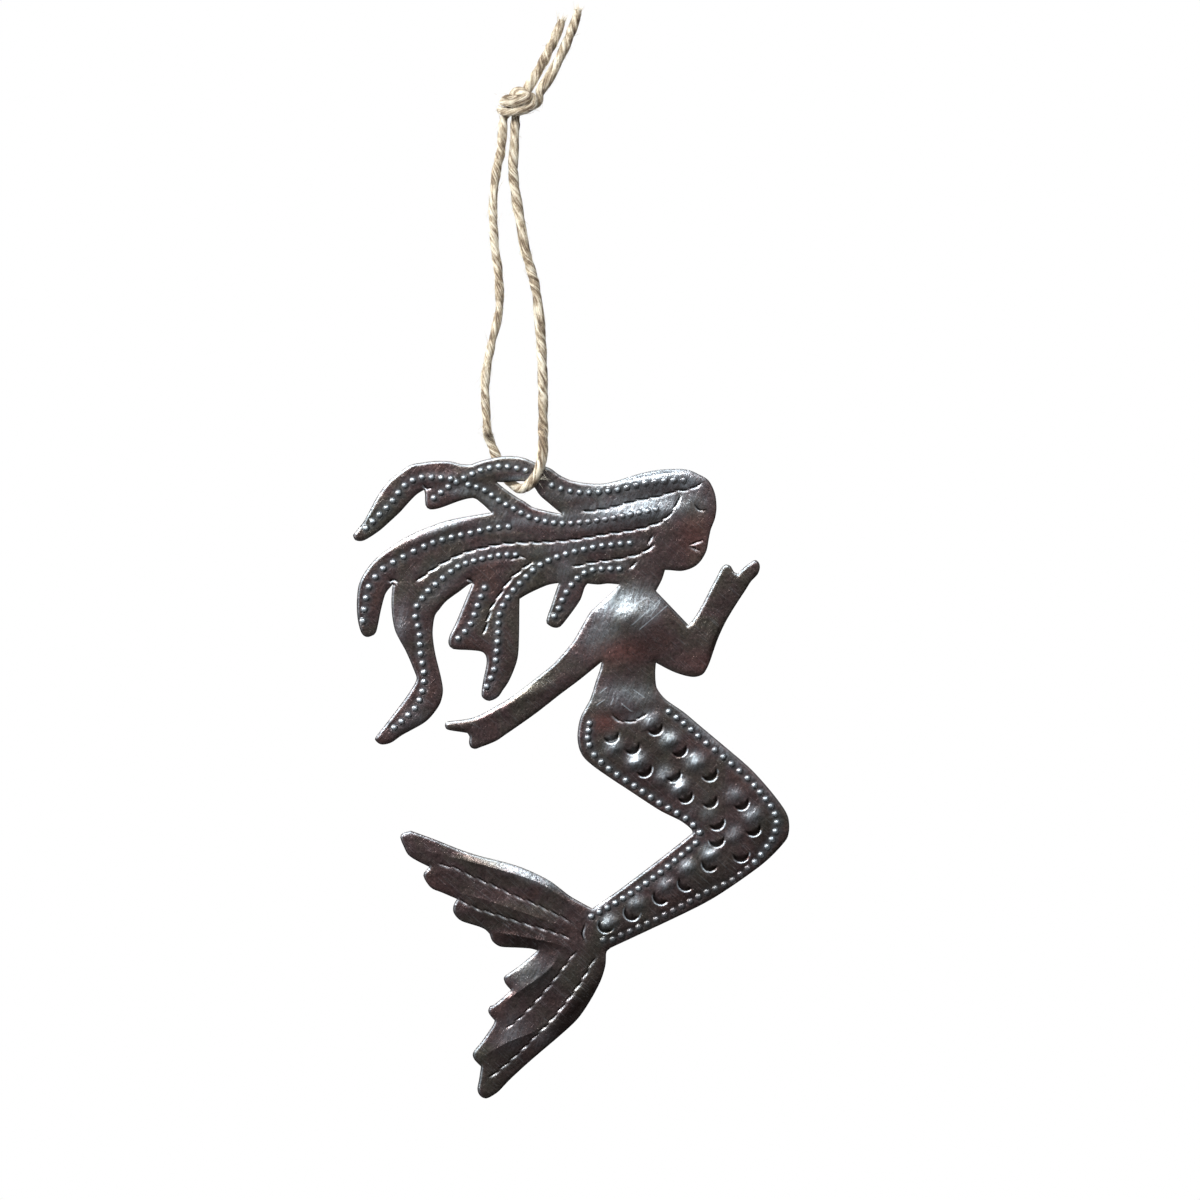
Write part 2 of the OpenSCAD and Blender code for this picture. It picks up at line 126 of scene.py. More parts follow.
FRONT_LEG = [
    (0.0023, 0, 0.0084), (0.002, 0, 0.002), (0.0018, 0, -0.001), (0.002, 0, -0.0044),
    (0.0027, 0, -0.009), (0.0034, 0, -0.013), (0.0042, 0, -0.0178), (0.006, 0, -0.0242),
    (0.0068, 0, -0.0292), (0.0074, 0, -0.036), (0.0077, 0, -0.0426), (0.0078, 0, -0.0472),
    (0.0078, 0, -0.0514),
]
REAR_LEG = [
    (-0.0001, 0, 0.0084), (-0.0006, 0, 0.002), (-0.0013, 0, -0.001), (-0.0018, 0, -0.0044),
    (-0.0022, 0, -0.009), (-0.0021, 0, -0.013), (-0.0018, 0, -0.0178), (-0.0011, 0, -0.0226),
    (-0.0009, 0, -0.0292), (-0.0016, 0, -0.0332), (-0.0026, 0, -0.0372), (-0.0036, 0, -0.0426),
    (-0.0038, 0, -0.047), (-0.0035, 0, -0.0514),
]
BIGHT = [
    (0.0078, 0, -0.0539), (0.0078, -0.001, -0.0549), (0.0078, -0.0019, -0.0562),
    (0.0078, -0.0022, -0.0578), (0.0076, -0.0023, -0.0594), (0.0073, -0.0024, -0.061),
    (0.0066, -0.0024, -0.0628), (0.0056, -0.0022, -0.0644), (0.0047, -0.0016, -0.0653),
    (0.004, -0.0008, -0.0657), (0.0034, 0, -0.0657), (0.0028, 0.0008, -0.0656),
    (0.002, 0.0016, -0.0651), (0.001, 0.0021, -0.0642), (0.0, 0.0022, -0.0626),
    (-0.0009, 0.0022, -0.0608), (-0.0017, 0.0021, -0.059), (-0.0023, 0.0021, -0.0574),
    (-0.0028, 0.0019, -0.0562), (-0.0032, 0.001, -0.0549), (-0.0034, 0, -0.0539),
]
SLOT_CENTRE = (0.0034, 0.0, -0.0657)
FRONT_LENGTH = 0.127
REAR_LENGTH = 0.118

# Twine, in millimetres
TWINE_D = 2.2
TWINE_SEED = 40
PLY_OFFSET = 0.17
PLY_R = 0.87
PLY_VALLEY_SHARE = 0.24
LAY_LENGTH = 11.0
LAY_WANDER = 2.2
LUMP_H = 0.07
FIBRE_H = 0.05
SWELL_SHARE = 0.12
REAR_THIN_SHARE = 0.86
THIN_START, THIN_START_EASE = 12.0, 6.0
THIN_END, THIN_END_EASE = 72.0, 8.0
TIP_W = 1.0
TIP_SQUEEZE_SHARE = 0.25
TIP_HELD = 2.0
RING_STEP = 0.3
RING_SIDES = 30
KNOT_Z = 7.0
KNOT_TOP_Z = 14.0
KNOT_TOP_EASE = 1.5
KNOT_GAP = 1.55
KNOT_LEAST_GAP = 0.05
KNOT_SQUEEZE_SHARE = 0.2
# Shares by which each of the rounds pushes the knot's turns apart, smooths them and draws them back
KNOT_ROUNDS = 60
KNOT_PUSH_SHARE = 0.12
KNOT_SMOOTH_SHARE = 0.3
KNOT_BACK_SHARE = 0.04

# Loose fibres, in millimetres
HAIRS = 480
HAIR_STEPS = 6
HAIR_R = 0.04
HAIR_SHARES = (0.6, 0.8, 1.0, 1.2, 1.9)
HAIR_TAPER_SHARE = 0.85
HAIR_LEAST = 0.5
HAIR_MEAN_MORE = 1.1
HAIR_MOST = 3.6
HAIR_LONG = 2.4
HAIR_LIFTS = (0.15, 0.75)
HAIR_LONG_LIFTS = (0.1, 0.35)
TUFT_HAIRS = 46
TUFT_R = 0.75
TUFT_LENGTHS = (0.9, 2.2)

# Stray fibres by the slot, in pixels: root, way, and length in millimetres
STRAY_R = 0.06
STRAYS_PX = [
    ((546, 474), (7, 10), 2.5), ((543, 481), (10, 2), 2.4), ((545, 484), (9, -2), 2.1),
    ((544, 489), (8, -8), 2.3), ((546, 478), (7, 5), 2.3), ((540, 468), (8, 7), 1.7),
    ((545, 486), (6, 9), 2.2), ((488, 399), (-8, 5), 1.6), ((485, 431), (-8, -3), 1.5),
]

# Steel, in millimetres
SHEET_T = 1.0
OUTLINE_STEP = 0.3
CURVE_PARTS = 8
CORNER_DEG = 24.0
SMOOTH_DEG = 52
RIM_RINGS = (0.1, 0.2, 0.31, 0.42, 0.6, 0.9)
RIM_LAND = 0.2
RIM_W = 0.42
RIM_DROP = 0.09
SHOULDER_W = 1.2
SHOULDER_DROP = 0.15
FADE_W = 1.2
BACK_RIM_RINGS = (0.12, 0.3)
BACK_RIM_W = 0.25
BACK_RIM_DROP = 0.1
BACK_SUNK = 0.02
BACK_BULGE_SHARE = 0.85
BACK_SCALE_SHARE = 0.8
BULGE_STEEPNESS = 1.4
PATCH_STEEPNESS = 1.2
BURNISH_AND_HIGHLIGHT_STEEPNESS = 0.9
FILL_STEP = 0.62
BACK_FILL_STEP = 1.1
FILL_MARGIN = 0.3
LEAST_GAP = 0.07
LEAST_MARGIN = 0.05
POINT_CELL = 0.25
HEX_ROW_SHARE = 0.866

DOT_R = 0.7
DOT_H = 0.44
DOT_REACH = 1.6
DOT_RINGS = ((0.0, 1), (0.2, 7), (0.38, 11), (0.52, 14), (0.62, 16), (0.71, 18), (0.84, 18))
MOAT_H = 0.06
MOAT_SHARE = 0.4
DIMPLE_R = 0.5
DIMPLE_H = 0.3
DIMPLE_REACH = 1.0
DIMPLE_RINGS = ((0.0, 1), (0.2, 6), (0.36, 9), (0.5, 12), (0.62, 12))

MAP_MARGIN = 0.01
MAP_STRIP = 0.02

# A chased line is a row of blows, with a steep wall towards the light and a broad lit one away from it
LIGHT_WAY = np.array((-0.5, 0.86))
GROOVE_STEEP_W = 0.16
GROOVE_LIT_W = 0.4
GROOVE_DEPTH = 0.24
GROOVE_RINGS = (0.0, 0.1, 0.2, 0.32, 0.44, 0.62, 0.95)
GROOVE_STEP = 0.3
GROOVE_BANK_W = 1.1
GROOVE_BANK_H = 0.14
STRIKE_LENGTH = 2.7
STRIKE_LEAN = 0.34
STRIKE_POWER = 0.4
SCRATCH_STEP = 0.25
SCRATCH_RINGS = (0.0, 0.14, -0.14)

SCALE_R = 1.78
SCALE_REACH = 5.5
SCALE_RINGS = (0.6, 1.0, 1.25, 1.41, 1.56, 1.72, 1.88, 2.02, 2.2, 2.5, 2.9, 3.3)
SCALE_RING_GAP = 0.1
SCALE_HALF_TURN_DEG = 105
SCALE_STEP_DEG = 7.5
SCALE_WALL = ((-0.37, -0.34), (-0.22, -0.12), (0.1, 0.0))
SCALE_CRESCENT_W = 1.15
MOUND_R = (1.75, 1.2)
MOUND_TURN = 30
MOUND_H = 0.44
MOUND_AWAY = 0.8
MOUND_REACH = 5
MOUND_HIGHLIGHT_R = 1.6
MOUND_FAR_SHARE = 2.4
RIDGE_W = 1.25
RIDGE_TAPER = 4.0

# Painted highlights on edges and groove lips that face the light, bright lines on scratches, and painted
# shade down grooves and along the outline: distance from it, and half width
RIM_PAINTED_HIGHLIGHT = (0.31, 0.09)
LIP_PAINTED_HIGHLIGHT = (0.25, 0.12)
SCRATCH_SHINE = (0.0, 0.09)
GROOVE_PAINTED_SHADE = (0.0, 0.15)
LAND_PAINTED_SHADE = (0.25, 0.06)

# Chased lines, in pixels of the photograph: depth share, then the points that each runs through
GROOVES_PX = [
    # Fringe, hair line from the brow, and two parting lines
    (1.0, [(583, 511.5), (608, 508), (634, 501), (659, 496), (675, 491.3), (691, 488.7), (701, 483)]),
    (1.0, [(678.5, 497.4), (673, 509.7), (661, 521), (637, 528.7), (608, 533.3), (575, 539),
           (546, 541.5), (511, 542.6), (488.6, 546), (463, 552.8), (442.4, 563), (425, 574.4),
           (417, 581)]),
    (0.9, [(652, 545), (647, 549.5), (640, 553), (621, 558), (592.4, 562), (572.4, 566.7)]),
    (0.9, [(531, 562), (510.4, 578.5), (497, 598), (490, 609.5), (483.5, 634)]),
    # Closed eye, and the two lips
    (0.7, [(694.4, 505.6), (699, 509.4), (705, 509.7)]),
    (0.75, [(690.5, 545.5), (696, 542.3), (703, 539.5)]),
    (0.6, [(691, 547.5), (696, 549), (701, 550)]),
    # Belt of the tail
    (0.8, [(613, 716.5), (619, 720), (627, 721.5), (635, 720.5), (641, 717), (646, 713)]),
    # Rays of the upper fin and the mark at its root
    (0.58, [(439.7, 864.4), (456, 868), (473, 876.4), (496, 886), (514, 895), (534, 903),
           (552.5, 912), (570.7, 921)]),
    (0.58, [(460, 900), (478, 908.5), (496, 914), (526, 923.6), (548, 930), (570.7, 937.7)]),
    (0.7, [(584, 925), (582, 934), (586, 942)]),
    # Rays of the lower fin
    (0.52, [(574.8, 951.5), (562, 968.7), (546.7, 988), (531.4, 1005.7), (518.7, 1018.4),
           (506, 1028.6)]),
    (0.52, [(594, 958), (585.6, 973), (577, 986.5), (564.6, 1003), (549, 1022), (536.5, 1034.4),
           (521, 1050), (504.6, 1065), (489, 1077.7)]),
    # Nicks of the chisel at the ends of slits
    (1.0, [(390, 582), (394, 579.5), (398, 581)]),
    (0.9, [(467, 580), (471, 580), (474, 583)]),
    (0.9, [(424, 486), (427, 488.5), (431, 487)]),
    (0.8, [(651, 536), (649, 541), (648, 545)]),
    (0.8, [(634.5, 562), (632, 566), (629.5, 569)]),
    (0.7, [(511, 560), (520, 556), (527, 558)]),
]

# Creases that stand out between the rays of the fins, in pixels: height in millimetres, then the points
RIDGES_PX = [
    (0.3, [(452, 857), (490, 867), (530, 879), (552, 890), (572, 904)]),
    (0.14, [(421, 850), (436, 853), (450, 856)]),
    (0.22, [(458, 893), (486, 900), (519, 911), (556, 924)]),
    (0.26, [(493, 932), (519, 936), (549, 942), (566, 947)]),
    (0.28, [(560, 952), (552, 966), (538, 978), (518, 992), (504, 1002)]),
    (0.24, [(482, 1057), (508, 1042), (531, 1033), (544, 1024)]),
    (0.16, [(506, 480.8), (514, 479.4), (522, 479), (529, 479.8)]),
]

# Slot that the twine runs through, in pixels, with the burr that narrows it
SLOT_PX = [
    (496.9, 482.1), (503.8, 482.2), (510.7, 481.8), (517.6, 481.3), (524.4, 481.4), (530.2, 483.6),
    (534.8, 487.9), (538.2, 493.2), (541.7, 497.2), (547.4, 502), (553.1, 506.8), (557.7, 510.6),
    (561.8, 513.7), (556, 512.9), (547.4, 510.9), (539.4, 509), (533.6, 507.5), (529.6, 505.1),
    (524.4, 501.4), (518.7, 498.2), (513, 494.5), (507.2, 490.5), (501.5, 486.2),
]

# Fish scales, in pixels: centre of the crescent's circle, and the way to its middle, in degrees
SCALES_PX = [
    (655, 727, 293), (611, 735, 290), (632, 746.5, 295), (679, 749, 297), (644, 769, 297),
    (673, 774, 297), (709.5, 773, 300), (685, 795, 295), (709.5, 800, 300), (741, 802, 297),
    (716.5, 822, 297), (753, 828, 297), (716.5, 839, 285), (741, 854, 275), (710, 863.5, 252),
    (686, 883, 230), (661, 896.5, 235), (632, 912.5, 237), (606, 925, 235),
]

# Lit slopes of the tiles that rise between the scales, in pixels, with the share of full height, which also
# sets the painted highlight on each
MOUNDS_PX = [
    (669, 738, 1.0), (613, 745, 0.75), (636, 759, 1.0), (695, 760, 1.0), (664, 774, 0.6),
    (679, 785, 1.0), (650, 719, 0.7), (734, 794, 0.5), (752, 814, 0.75), (733, 833, 0.5),
    (709, 852, 0.85), (686, 865, 0.75), (665, 883, 0.6), (635, 901, 0.65), (608, 920, 0.75),
    (708, 813, 0.3),
]

# Dots punched with less force, in pixels: ends of the line that they lie along, and the height share
FAINT_DOTS_PX = [
    ((768, 868), (612, 942), 0.62), ((634, 485), (692, 478), 0.66), ((578, 520), (664, 505), 0.82),
]
FAINT_REACH_PX = 11

# Scratches that catch the light, in pixels: ends of each
SCRATCHES_PX = [
    ((632.7, 624.5), (662.4, 597.8)), ((627, 608), (646, 598)), ((651, 615), (660.5, 601.6)),
    ((598, 704), (604, 700)), ((611, 704), (613, 699)), ((622, 704), (631, 711)),
    ((600, 693), (606, 688)), ((634, 690), (644, 697)), ((640, 629), (669, 604)),
]

# Rusty and purplish patches, in pixels: centre, half lengths, turn in degrees, strength
RUST_PX = [
    (604, 722, 14, 10, 0, 1.0), (618, 652, 32, 13, 5, 0.9), (694, 536, 18, 26, 0, 0.7),
    (700, 662, 22, 14, 0, 0.4), (640, 800, 40, 14, -40, 0.3), (420, 880, 30, 14, -20, 0.4),
]

# Patches of thicker dark lacquer, in pixels: centre, half lengths, turn in degrees, strength
SOOT_PX = [
    (575, 1010, 24, 62, -35, 0.9), (520, 1050, 50, 22, 45, 0.7), (545, 985, 30, 22, 45, 0.5),
    (505, 925, 60, 12, -16, 0.7), (525, 940, 44, 8, -8, 0.9), (450, 880, 40, 14, -20, 0.4),
    (700, 890, 70, 16, 33, 0.7), (620, 935, 40, 10, 25, 0.7), (765, 840, 24, 46, -15, 0.6),
    (640, 775, 40, 40, 0, 0.4), (360, 600, 14, 40, 0, 0.4), (600, 545, 60, 16, 8, 0.3),
    (725, 610, 12, 40, -30, 0.3),
]

# Hammered bulges, in pixels: centre, half lengths, turn in degrees, height in millimetres
BULGES_PX = [
    # Chest, waist and belly, cheek, fringe and crown
    (640, 628, 42, 30, 25, 0.7), (629, 616, 22, 15, 12, 0.34),
    (620, 704, 26, 16, 8, 0.24),
    (676, 524, 24, 20, -40, 0.24),
    (656, 480, 46, 11, 6, 0.5),
    (640, 514, 50, 8.5, 8, 0.42),
    # Lowered arm and raised arm
    (505, 704, 60, 8, 24, 0.3),
    (714, 640, 9, 20, -16, 0.3),
    # Locks of hair
    (430, 534, 60, 8, 20, 0.2), (450, 478, 36, 7, 4, 0.2), (400, 640, 10, 26, -8, 0.22),
    (408, 725, 24, 10, 50, 0.22), (500, 640, 9, 34, 6, 0.2),
    # Facets of the fins
    (520, 880, 50, 7, -22, 0.16), (530, 976, 26, 12, 48, 0.14), (566, 1010, 44, 8, 50, 0.3),
    # Shank between the scales and the fins
    (600, 906, 14, 7, 35, 0.2),
]

# Burnished patches, which are also painted highlights and sheen where the steel faces the light, in pixels:
# centre, half lengths, turn in degrees, strength
BURNISH_AND_HIGHLIGHT_PX = [
    (620, 604, 32, 13, 12, 1.0), (650, 608, 18, 9, 48, 0.75), (600, 632, 28, 14, 50, 0.4),
    (655, 473, 58, 15, 6, 1.0), (690, 482, 14, 9, 0, 0.8), (600, 491, 44, 6, 5, 0.6),
    (640, 508, 52, 12, 8, 1.0), (600, 522, 30, 6, 8, 0.5), (540, 520, 60, 5, 4, 0.5),
    (460, 490, 24, 5, 0, 0.45), (455, 522, 45, 4, 20, 0.6), (470, 556, 45, 5, 18, 0.3),
    (400, 625, 8, 20, -10, 0.4), (415, 725, 16, 12, 40, 0.3), (625, 695, 28, 12, 0, 0.5),
    (640, 716, 16, 6, 20, 0.4), (718, 747, 66, 4, -43, 0.55), (528, 874, 38, 5, -22, 0.9),
    (530, 972, 20, 14, 25, 0.3), (510, 1032, 16, 12, 40, 0.3), (545, 1040, 14, 10, 30, 0.15),
    (640, 850, 60, 4, 38, 0.4), (600, 905, 12, 4, 35, 0.6), (480, 705, 40, 4, 22, 0.35),
    (405, 832, 5, 3, 0, 0.9), (518, 479, 12, 3, 4, 1.0), (566, 568, 12, 24, 0, 0.25),
    (585, 546, 50, 5, 5, 0.35), (600, 566, 30, 4, 5, 0.35), (505, 466, 30, 4, 0, 0.3),
    (495, 505, 30, 6, -38, 0.3), (440, 590, 30, 5, 42, 0.2),
]


def spot(px, py):
    """A pixel of the photograph as (x, z) in millimetres, in the plane of the steel."""
    return ((px - ORIGIN_PX[0]) * PX_MM, (ORIGIN_PX[1] - py) * PX_MM)


def spots(pixels):
    return np.array([spot(*pixel) for pixel in pixels])


def limited(values):
    """Shares cut off at 0 and at 1."""
    return np.clip(values, 0, 1)


def smooth_share(t):
    """A share from 0 to 1 that starts and stops gently."""
    t = limited(t)
    return t * t * (3 - 2 * t)


def bell(away, width):
    """1 where away is 0, fading to almost 0 at twice the width."""
    return np.exp(-(away / width) ** 2)


def wave(x, y, z):
    """Smooth noise at one place, from -1 to 1."""
    return noise.noise(Vector((x, y, z)))


def waves(points, scale, seed):
    """Smooth noise at each point of the drawing."""
    return np.array([wave(x * scale, z * scale, seed) for x, z in points])


def unit(vectors):
    return vectors / np.maximum(np.linalg.norm(vectors, axis=-1, keepdims=True), 1e-9)


def link(obj):
    bpy.context.scene.collection.objects.link(obj)
    return obj


def make_camera():
    data = bpy.data.cameras.new("camera")
    camera = link(bpy.data.objects.new("camera", data))
    x, z = spot(*PHOTO_CENTRE_PX)
    camera.location = (x * MM, -CAMERA_BACK, z * MM)
    camera.rotation_euler = (math.radians(90), 0, 0)
    data.sensor_width = CAMERA_SENSOR_MM
    data.lens = CAMERA_SENSOR_MM * CAMERA_BACK / (PHOTO_SIDE_PX * PX_MM * MM)
    data.clip_start, data.clip_end = CAMERA_CLIP
    bpy.context.scene.camera = camera


def catmull(a, b, c, d, t):
    """A point between b and c on the smooth curve that runs through all four."""
    return (2 * b + (c - a) * t + (2 * a - 5 * b + 4 * c - d) * t ** 2
            + (3 * b - 3 * c + d - a) * t ** 3) / 2


def smooth_line(points, step):
    """Points every step along a smooth curve that runs through the given points."""
    points = np.asarray(points, float)
    last = len(points) - 1
    fine = [points[0]]
    for i in range(last):
        a, b = points[max(i - 1, 0)], points[i]
        c, d = points[i + 1], points[min(i + 2, last)]
        for t in np.linspace(0, 1, CURVE_PARTS + 1)[1:]:
            fine.append(catmull(a, b, c, d, t))
    return spread(np.array(fine), step)


def spread(line, step):
    """A line's points spread evenly, about a step apart, with both ends kept."""
    lengths = np.linalg.norm(np.diff(line, axis=0), axis=1)
    at = np.concatenate([[0], np.cumsum(lengths)])
    count = max(int(round(at[-1] / step)), 1)
    wanted = np.linspace(0, at[-1], count + 1)
    return np.stack([np.interp(wanted, at, line[:, k]) for k in range(line.shape[1])], 1)


def mesh_object(name, verts, faces, material, smooth_deg=None):
    mesh = bpy.data.meshes.new(name)
    mesh.from_pydata([tuple(v) for v in verts], [], [tuple(f) for f in faces])
    mesh.materials.append(material)
    mesh.polygons.foreach_set("use_smooth", [True] * len(mesh.polygons))
    if smooth_deg is not None:
        mesh.set_sharp_from_angle(angle=math.radians(smooth_deg))
    mesh.update()
    return link(bpy.data.objects.new(name, mesh))


def set_attribute(mesh, name, values):
    attribute = mesh.attributes.new(name, "FLOAT", "POINT")
    attribute.data.foreach_set("value", np.asarray(values, np.float32))


def twine_route():
    """The twine's centreline from rear tip to front tip, in millimetres, drawn tight in the knot."""
    route = (REAR_TAIL[::-1] + REAR_KNOT[1:-1][::-1] + REAR_LEG + BIGHT[::-1] + FRONT_LEG[::-1]
             + FRONT_KNOT[1:-1] + FRONT_TAIL)
    line = smooth_line(np.array(route) / MM, RING_STEP)
    first = line.copy()
    knot = np.flatnonzero(line[:, 2] > KNOT_Z)
    free = (line[:, 2] > KNOT_Z) & (line[:, 2] < line[:, 2].max() - TIP_HELD)
    order = np.abs(knot[:, None] - knot[None]) * RING_STEP
    for _ in range(KNOT_ROUNDS):
        here = line[knot]
        away = here[:, None] - here[None]
        gap = np.linalg.norm(away, axis=2)
        close = (gap < KNOT_GAP) & (order > 2 * KNOT_GAP)
        push = (KNOT_GAP - gap) * KNOT_PUSH_SHARE * close / np.maximum(gap, KNOT_LEAST_GAP)
        moved = here + (away * push[..., None]).sum(1)
        line[knot] = np.where(free[knot][:, None], moved, here)
        middle = (line[:-2] + line[2:]) / 2
        line[1:-1] += KNOT_SMOOTH_SHARE * (middle - line[1:-1]) * free[1:-1, None]
        line[1:-1] += KNOT_BACK_SHARE * (first[1:-1] - line[1:-1]) * free[1:-1, None]
    return spread(line, RING_STEP)


def twine_frames(line, middle):
    """Tangents, and normals that turn no more than the line does, carried out from the middle ring."""
    tangents = unit(np.gradient(line, axis=0))
    normals = np.zeros_like(line)
    normals[middle] = (0, 0, 1)
    normals[middle] -= tangents[middle] * (normals[middle] @ tangents[middle])
    for order in (range(middle + 1, len(line)), range(middle - 1, -1, -1)):
        last = normals[middle]
        for i in order:
            last = last - tangents[i] * (last @ tangents[i])
            last = last / np.linalg.norm(last)
            normals[i] = last
    normals = unit(normals)
    return tangents, normals, np.cross(tangents, normals)


def random_way(draw, size):
    return np.array([draw.uniform(-1, 1) for _ in range(3)]) * size


class Strand:
    """Mesh of one half of the twine with its hairs, and what its material reads at each point."""

    def __init__(self):
        self.verts, self.faces, self.strand, self.groove, self.lay = [], [], [], [], []

    def add_point(self, at, strand, groove, lay):
        self.verts.append(at)
        self.strand.append(strand)
        self.groove.append(groove)
        self.lay.append(lay)

    def add_skin(self, base, rings, sides):
        """Walls and two ends round rings of points, the first of which has the number base."""
        for i in range(rings - 1):
            for k in range(sides):
                a, b = base + i * sides + k, base + i * sides + (k + 1) % sides
                self.faces.append((a, b, b + sides, a + sides))
        last = base + (rings - 1) * sides
        self.faces.append(tuple(range(base + sides - 1, base - 1, -1)))
        self.faces.append(tuple(range(last, last + sides)))

    def add_tube(self, line, normals, binormals, at, thin):
        """Two plies that turn round each other, where at is the way along from the slot."""
        base = len(self.verts)
        sides = 2 * np.pi * np.arange(RING_SIDES) / RING_SIDES
        reach = PLY_OFFSET * np.abs(np.cos(sides)) + np.sqrt(PLY_R ** 2 - (PLY_OFFSET * np.sin(sides)) ** 2)
        valley_shade = bell(np.cos(sides), PLY_VALLEY_SHARE)
        tip = max(np.abs(at))
        for point, normal, binormal, s in zip(line, normals, binormals, at):
            turn = -2 * math.pi * s / LAY_LENGTH + LAY_WANDER * wave(s * 0.13, 8.2, 1.4)
            pinch = smooth_share(point[2] - KNOT_Z) * smooth_share((KNOT_TOP_Z - point[2]) / KNOT_TOP_EASE)
            swell = 1 + SWELL_SHARE * wave(s * 0.22, 3.3, 0.4)
            swell *= 1 - KNOT_SQUEEZE_SHARE * pinch
            swell *= 1 - ((1 - thin) * smooth_share((abs(s) - THIN_START) / THIN_START_EASE)
                          * smooth_share((THIN_END - abs(s)) / THIN_END_EASE))
            swell *= 1 - TIP_SQUEEZE_SHARE * smooth_share((abs(s) - tip + TIP_W) / TIP_W)
            for k, side in enumerate(sides):
                coarse = wave(math.cos(side) * 1.7, math.sin(side) * 1.7, s * 0.3)
                fine = wave(math.cos(side) * 5, math.sin(side) * 5, s * 0.5)
                radius = reach[k] * swell + LUMP_H * coarse + FIBRE_H * fine
                c, q = math.cos(side + turn), math.sin(side + turn)
                # The groove share paints shade in the valleys between the plies and where the knot pinches
                # them
                self.add_point(point + (normal * c + binormal * q) * radius,
                               0.5 + 0.45 * coarse + 0.6 * fine,
                               max(valley_shade[k], pinch * (0.3 + 0.5 * coarse)),
                               (c * 1.1, q * 1.1, s * 0.16))
        self.add_skin(base, len(line), RING_SIDES)

    def add_hair(self, start, way, length, curl, radius, shade):
        """A loose fibre: a bent three-sided spike."""
        base, last = len(self.verts), HAIR_STEPS - 1
        way, point = unit(way), np.array(start)
        side = unit(np.cross(way, (0.3, 0.5, 0.8)))
        for i in range(HAIR_STEPS):
            across = unit(np.cross(way, side))
            thick = radius * (1 - HAIR_TAPER_SHARE * i / last)
            for k in range(3):
                angle = 2 * math.pi * k / 3
                corner = point + thick * (side * math.cos(angle) + across * math.sin(angle))
                self.add_point(corner, shade, 0.0, (shade, shade, shade))
            point = point + way * length / last
            way = unit(way + curl / last)
            side = unit(side - way * (side @ way))
        self.add_skin(base, HAIR_STEPS, 3)

    def add_fuzz(self, line, tangents, normals, binormals, draw):
        """Short hairs all along, a few by the slot, and a tuft at the cut tip, the line's last point."""
        for _ in range(HAIRS):
            i = draw.randrange(2, len(line) - 2)
            angle = draw.uniform(0, 2 * math.pi)
            out = normals[i] * math.cos(angle) + binormals[i] * math.sin(angle)
            along = tangents[i] * draw.choice((-1, 1))
            length = min(draw.expovariate(1 / HAIR_MEAN_MORE) + HAIR_LEAST, HAIR_MOST)
            lift = draw.uniform(*(HAIR_LIFTS if length < HAIR_LONG else HAIR_LONG_LIFTS))
            curl = random_way(draw, 0.8)
            start = line[i] + out * TWINE_D * 0.3
            self.add_hair(start, along + out * lift, length, curl, HAIR_R * draw.choice(HAIR_SHARES),
                          draw.uniform(0.55, 1.0))
        for root, way, length in STRAYS_PX:
            x, z = spot(*root)
            start = np.array([x, line[0][1] - TWINE_D, z])
            nearest = line[np.argmin(np.linalg.norm(line - start, axis=1))]
            if np.linalg.norm(nearest - start) < TWINE_D * 1.5:
                curl = random_way(draw, 0.6)
                start = nearest + unit(start - nearest) * TWINE_D * 0.4
                self.add_hair(start, np.array([way[0], -2, -way[1]]), length, curl, STRAY_R, 1.0)
        for _ in range(TUFT_HAIRS):
            angle, away = draw.uniform(0, 2 * math.pi), draw.uniform(0, TUFT_R)
            out = normals[-1] * math.cos(angle) + binormals[-1] * math.sin(angle)
            curl = random_way(draw, 0.5)
            self.add_hair(line[-3] + out * away, tangents[-1] + out * away * 0.4,
                          draw.uniform(*TUFT_LENGTHS), curl, HAIR_R * 1.5, draw.uniform(0.5, 1.0))


def make_twine(material):
    line = twine_route()
    middle = int(np.argmin(np.linalg.norm(line - np.array(SLOT_CENTRE) / MM, axis=1)))
    tangents, normals, binormals = twine_frames(line, middle)
    at = (np.arange(len(line)) - middle) * RING_STEP
    halves = (
        ("front_twine", slice(middle, None), 1, 1.0, FRONT_LENGTH,
         ("twine_front_tail", "overhand_knot", "twine_front_leg", "twine_bight")),
        ("rear_twine", slice(middle, None, -1), -1, REAR_THIN_SHARE, REAR_LENGTH,
         ("twine_rear_tail", "overhand_knot", "twine_rear_leg", "twine_bight")),
    )
    for number, (name, part, way, thin, length, nodes) in enumerate(halves):
        draw = random.Random(TWINE_SEED + number)
        strand = Strand()
        half = line[part]
        strand.add_tube(half, normals[part], binormals[part], at[part], thin)
        strand.add_fuzz(half, tangents[part] * way, normals[part], binormals[part], draw)
        obj = mesh_object(name, np.array(strand.verts) * MM, strand.faces, material)
        if way < 0:
            obj.data.flip_normals()
        set_attribute(obj.data, "strand", strand.strand)
        set_attribute(obj.data, "groove", strand.groove)
        lay = obj.data.attributes.new("lay", "FLOAT_VECTOR", "POINT")
        lay.data.foreach_set("vector", np.array(strand.lay, np.float32).ravel())
        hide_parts(*nodes)
        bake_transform(obj)


def plate_triangles(node):
    """The node's triangles in millimetres, as an array of (triangle, corner, xyz)."""
    mesh = node.data
    mesh.calc_loop_triangles()
    co = np.zeros(len(mesh.vertices) * 3)
    mesh.vertices.foreach_get("co", co)
    index = np.zeros(len(mesh.loop_triangles) * 3, int)
    mesh.loop_triangles.foreach_get("vertices", index)
    return (co.reshape(-1, 3) / MM)[index.reshape(-1, 3)]


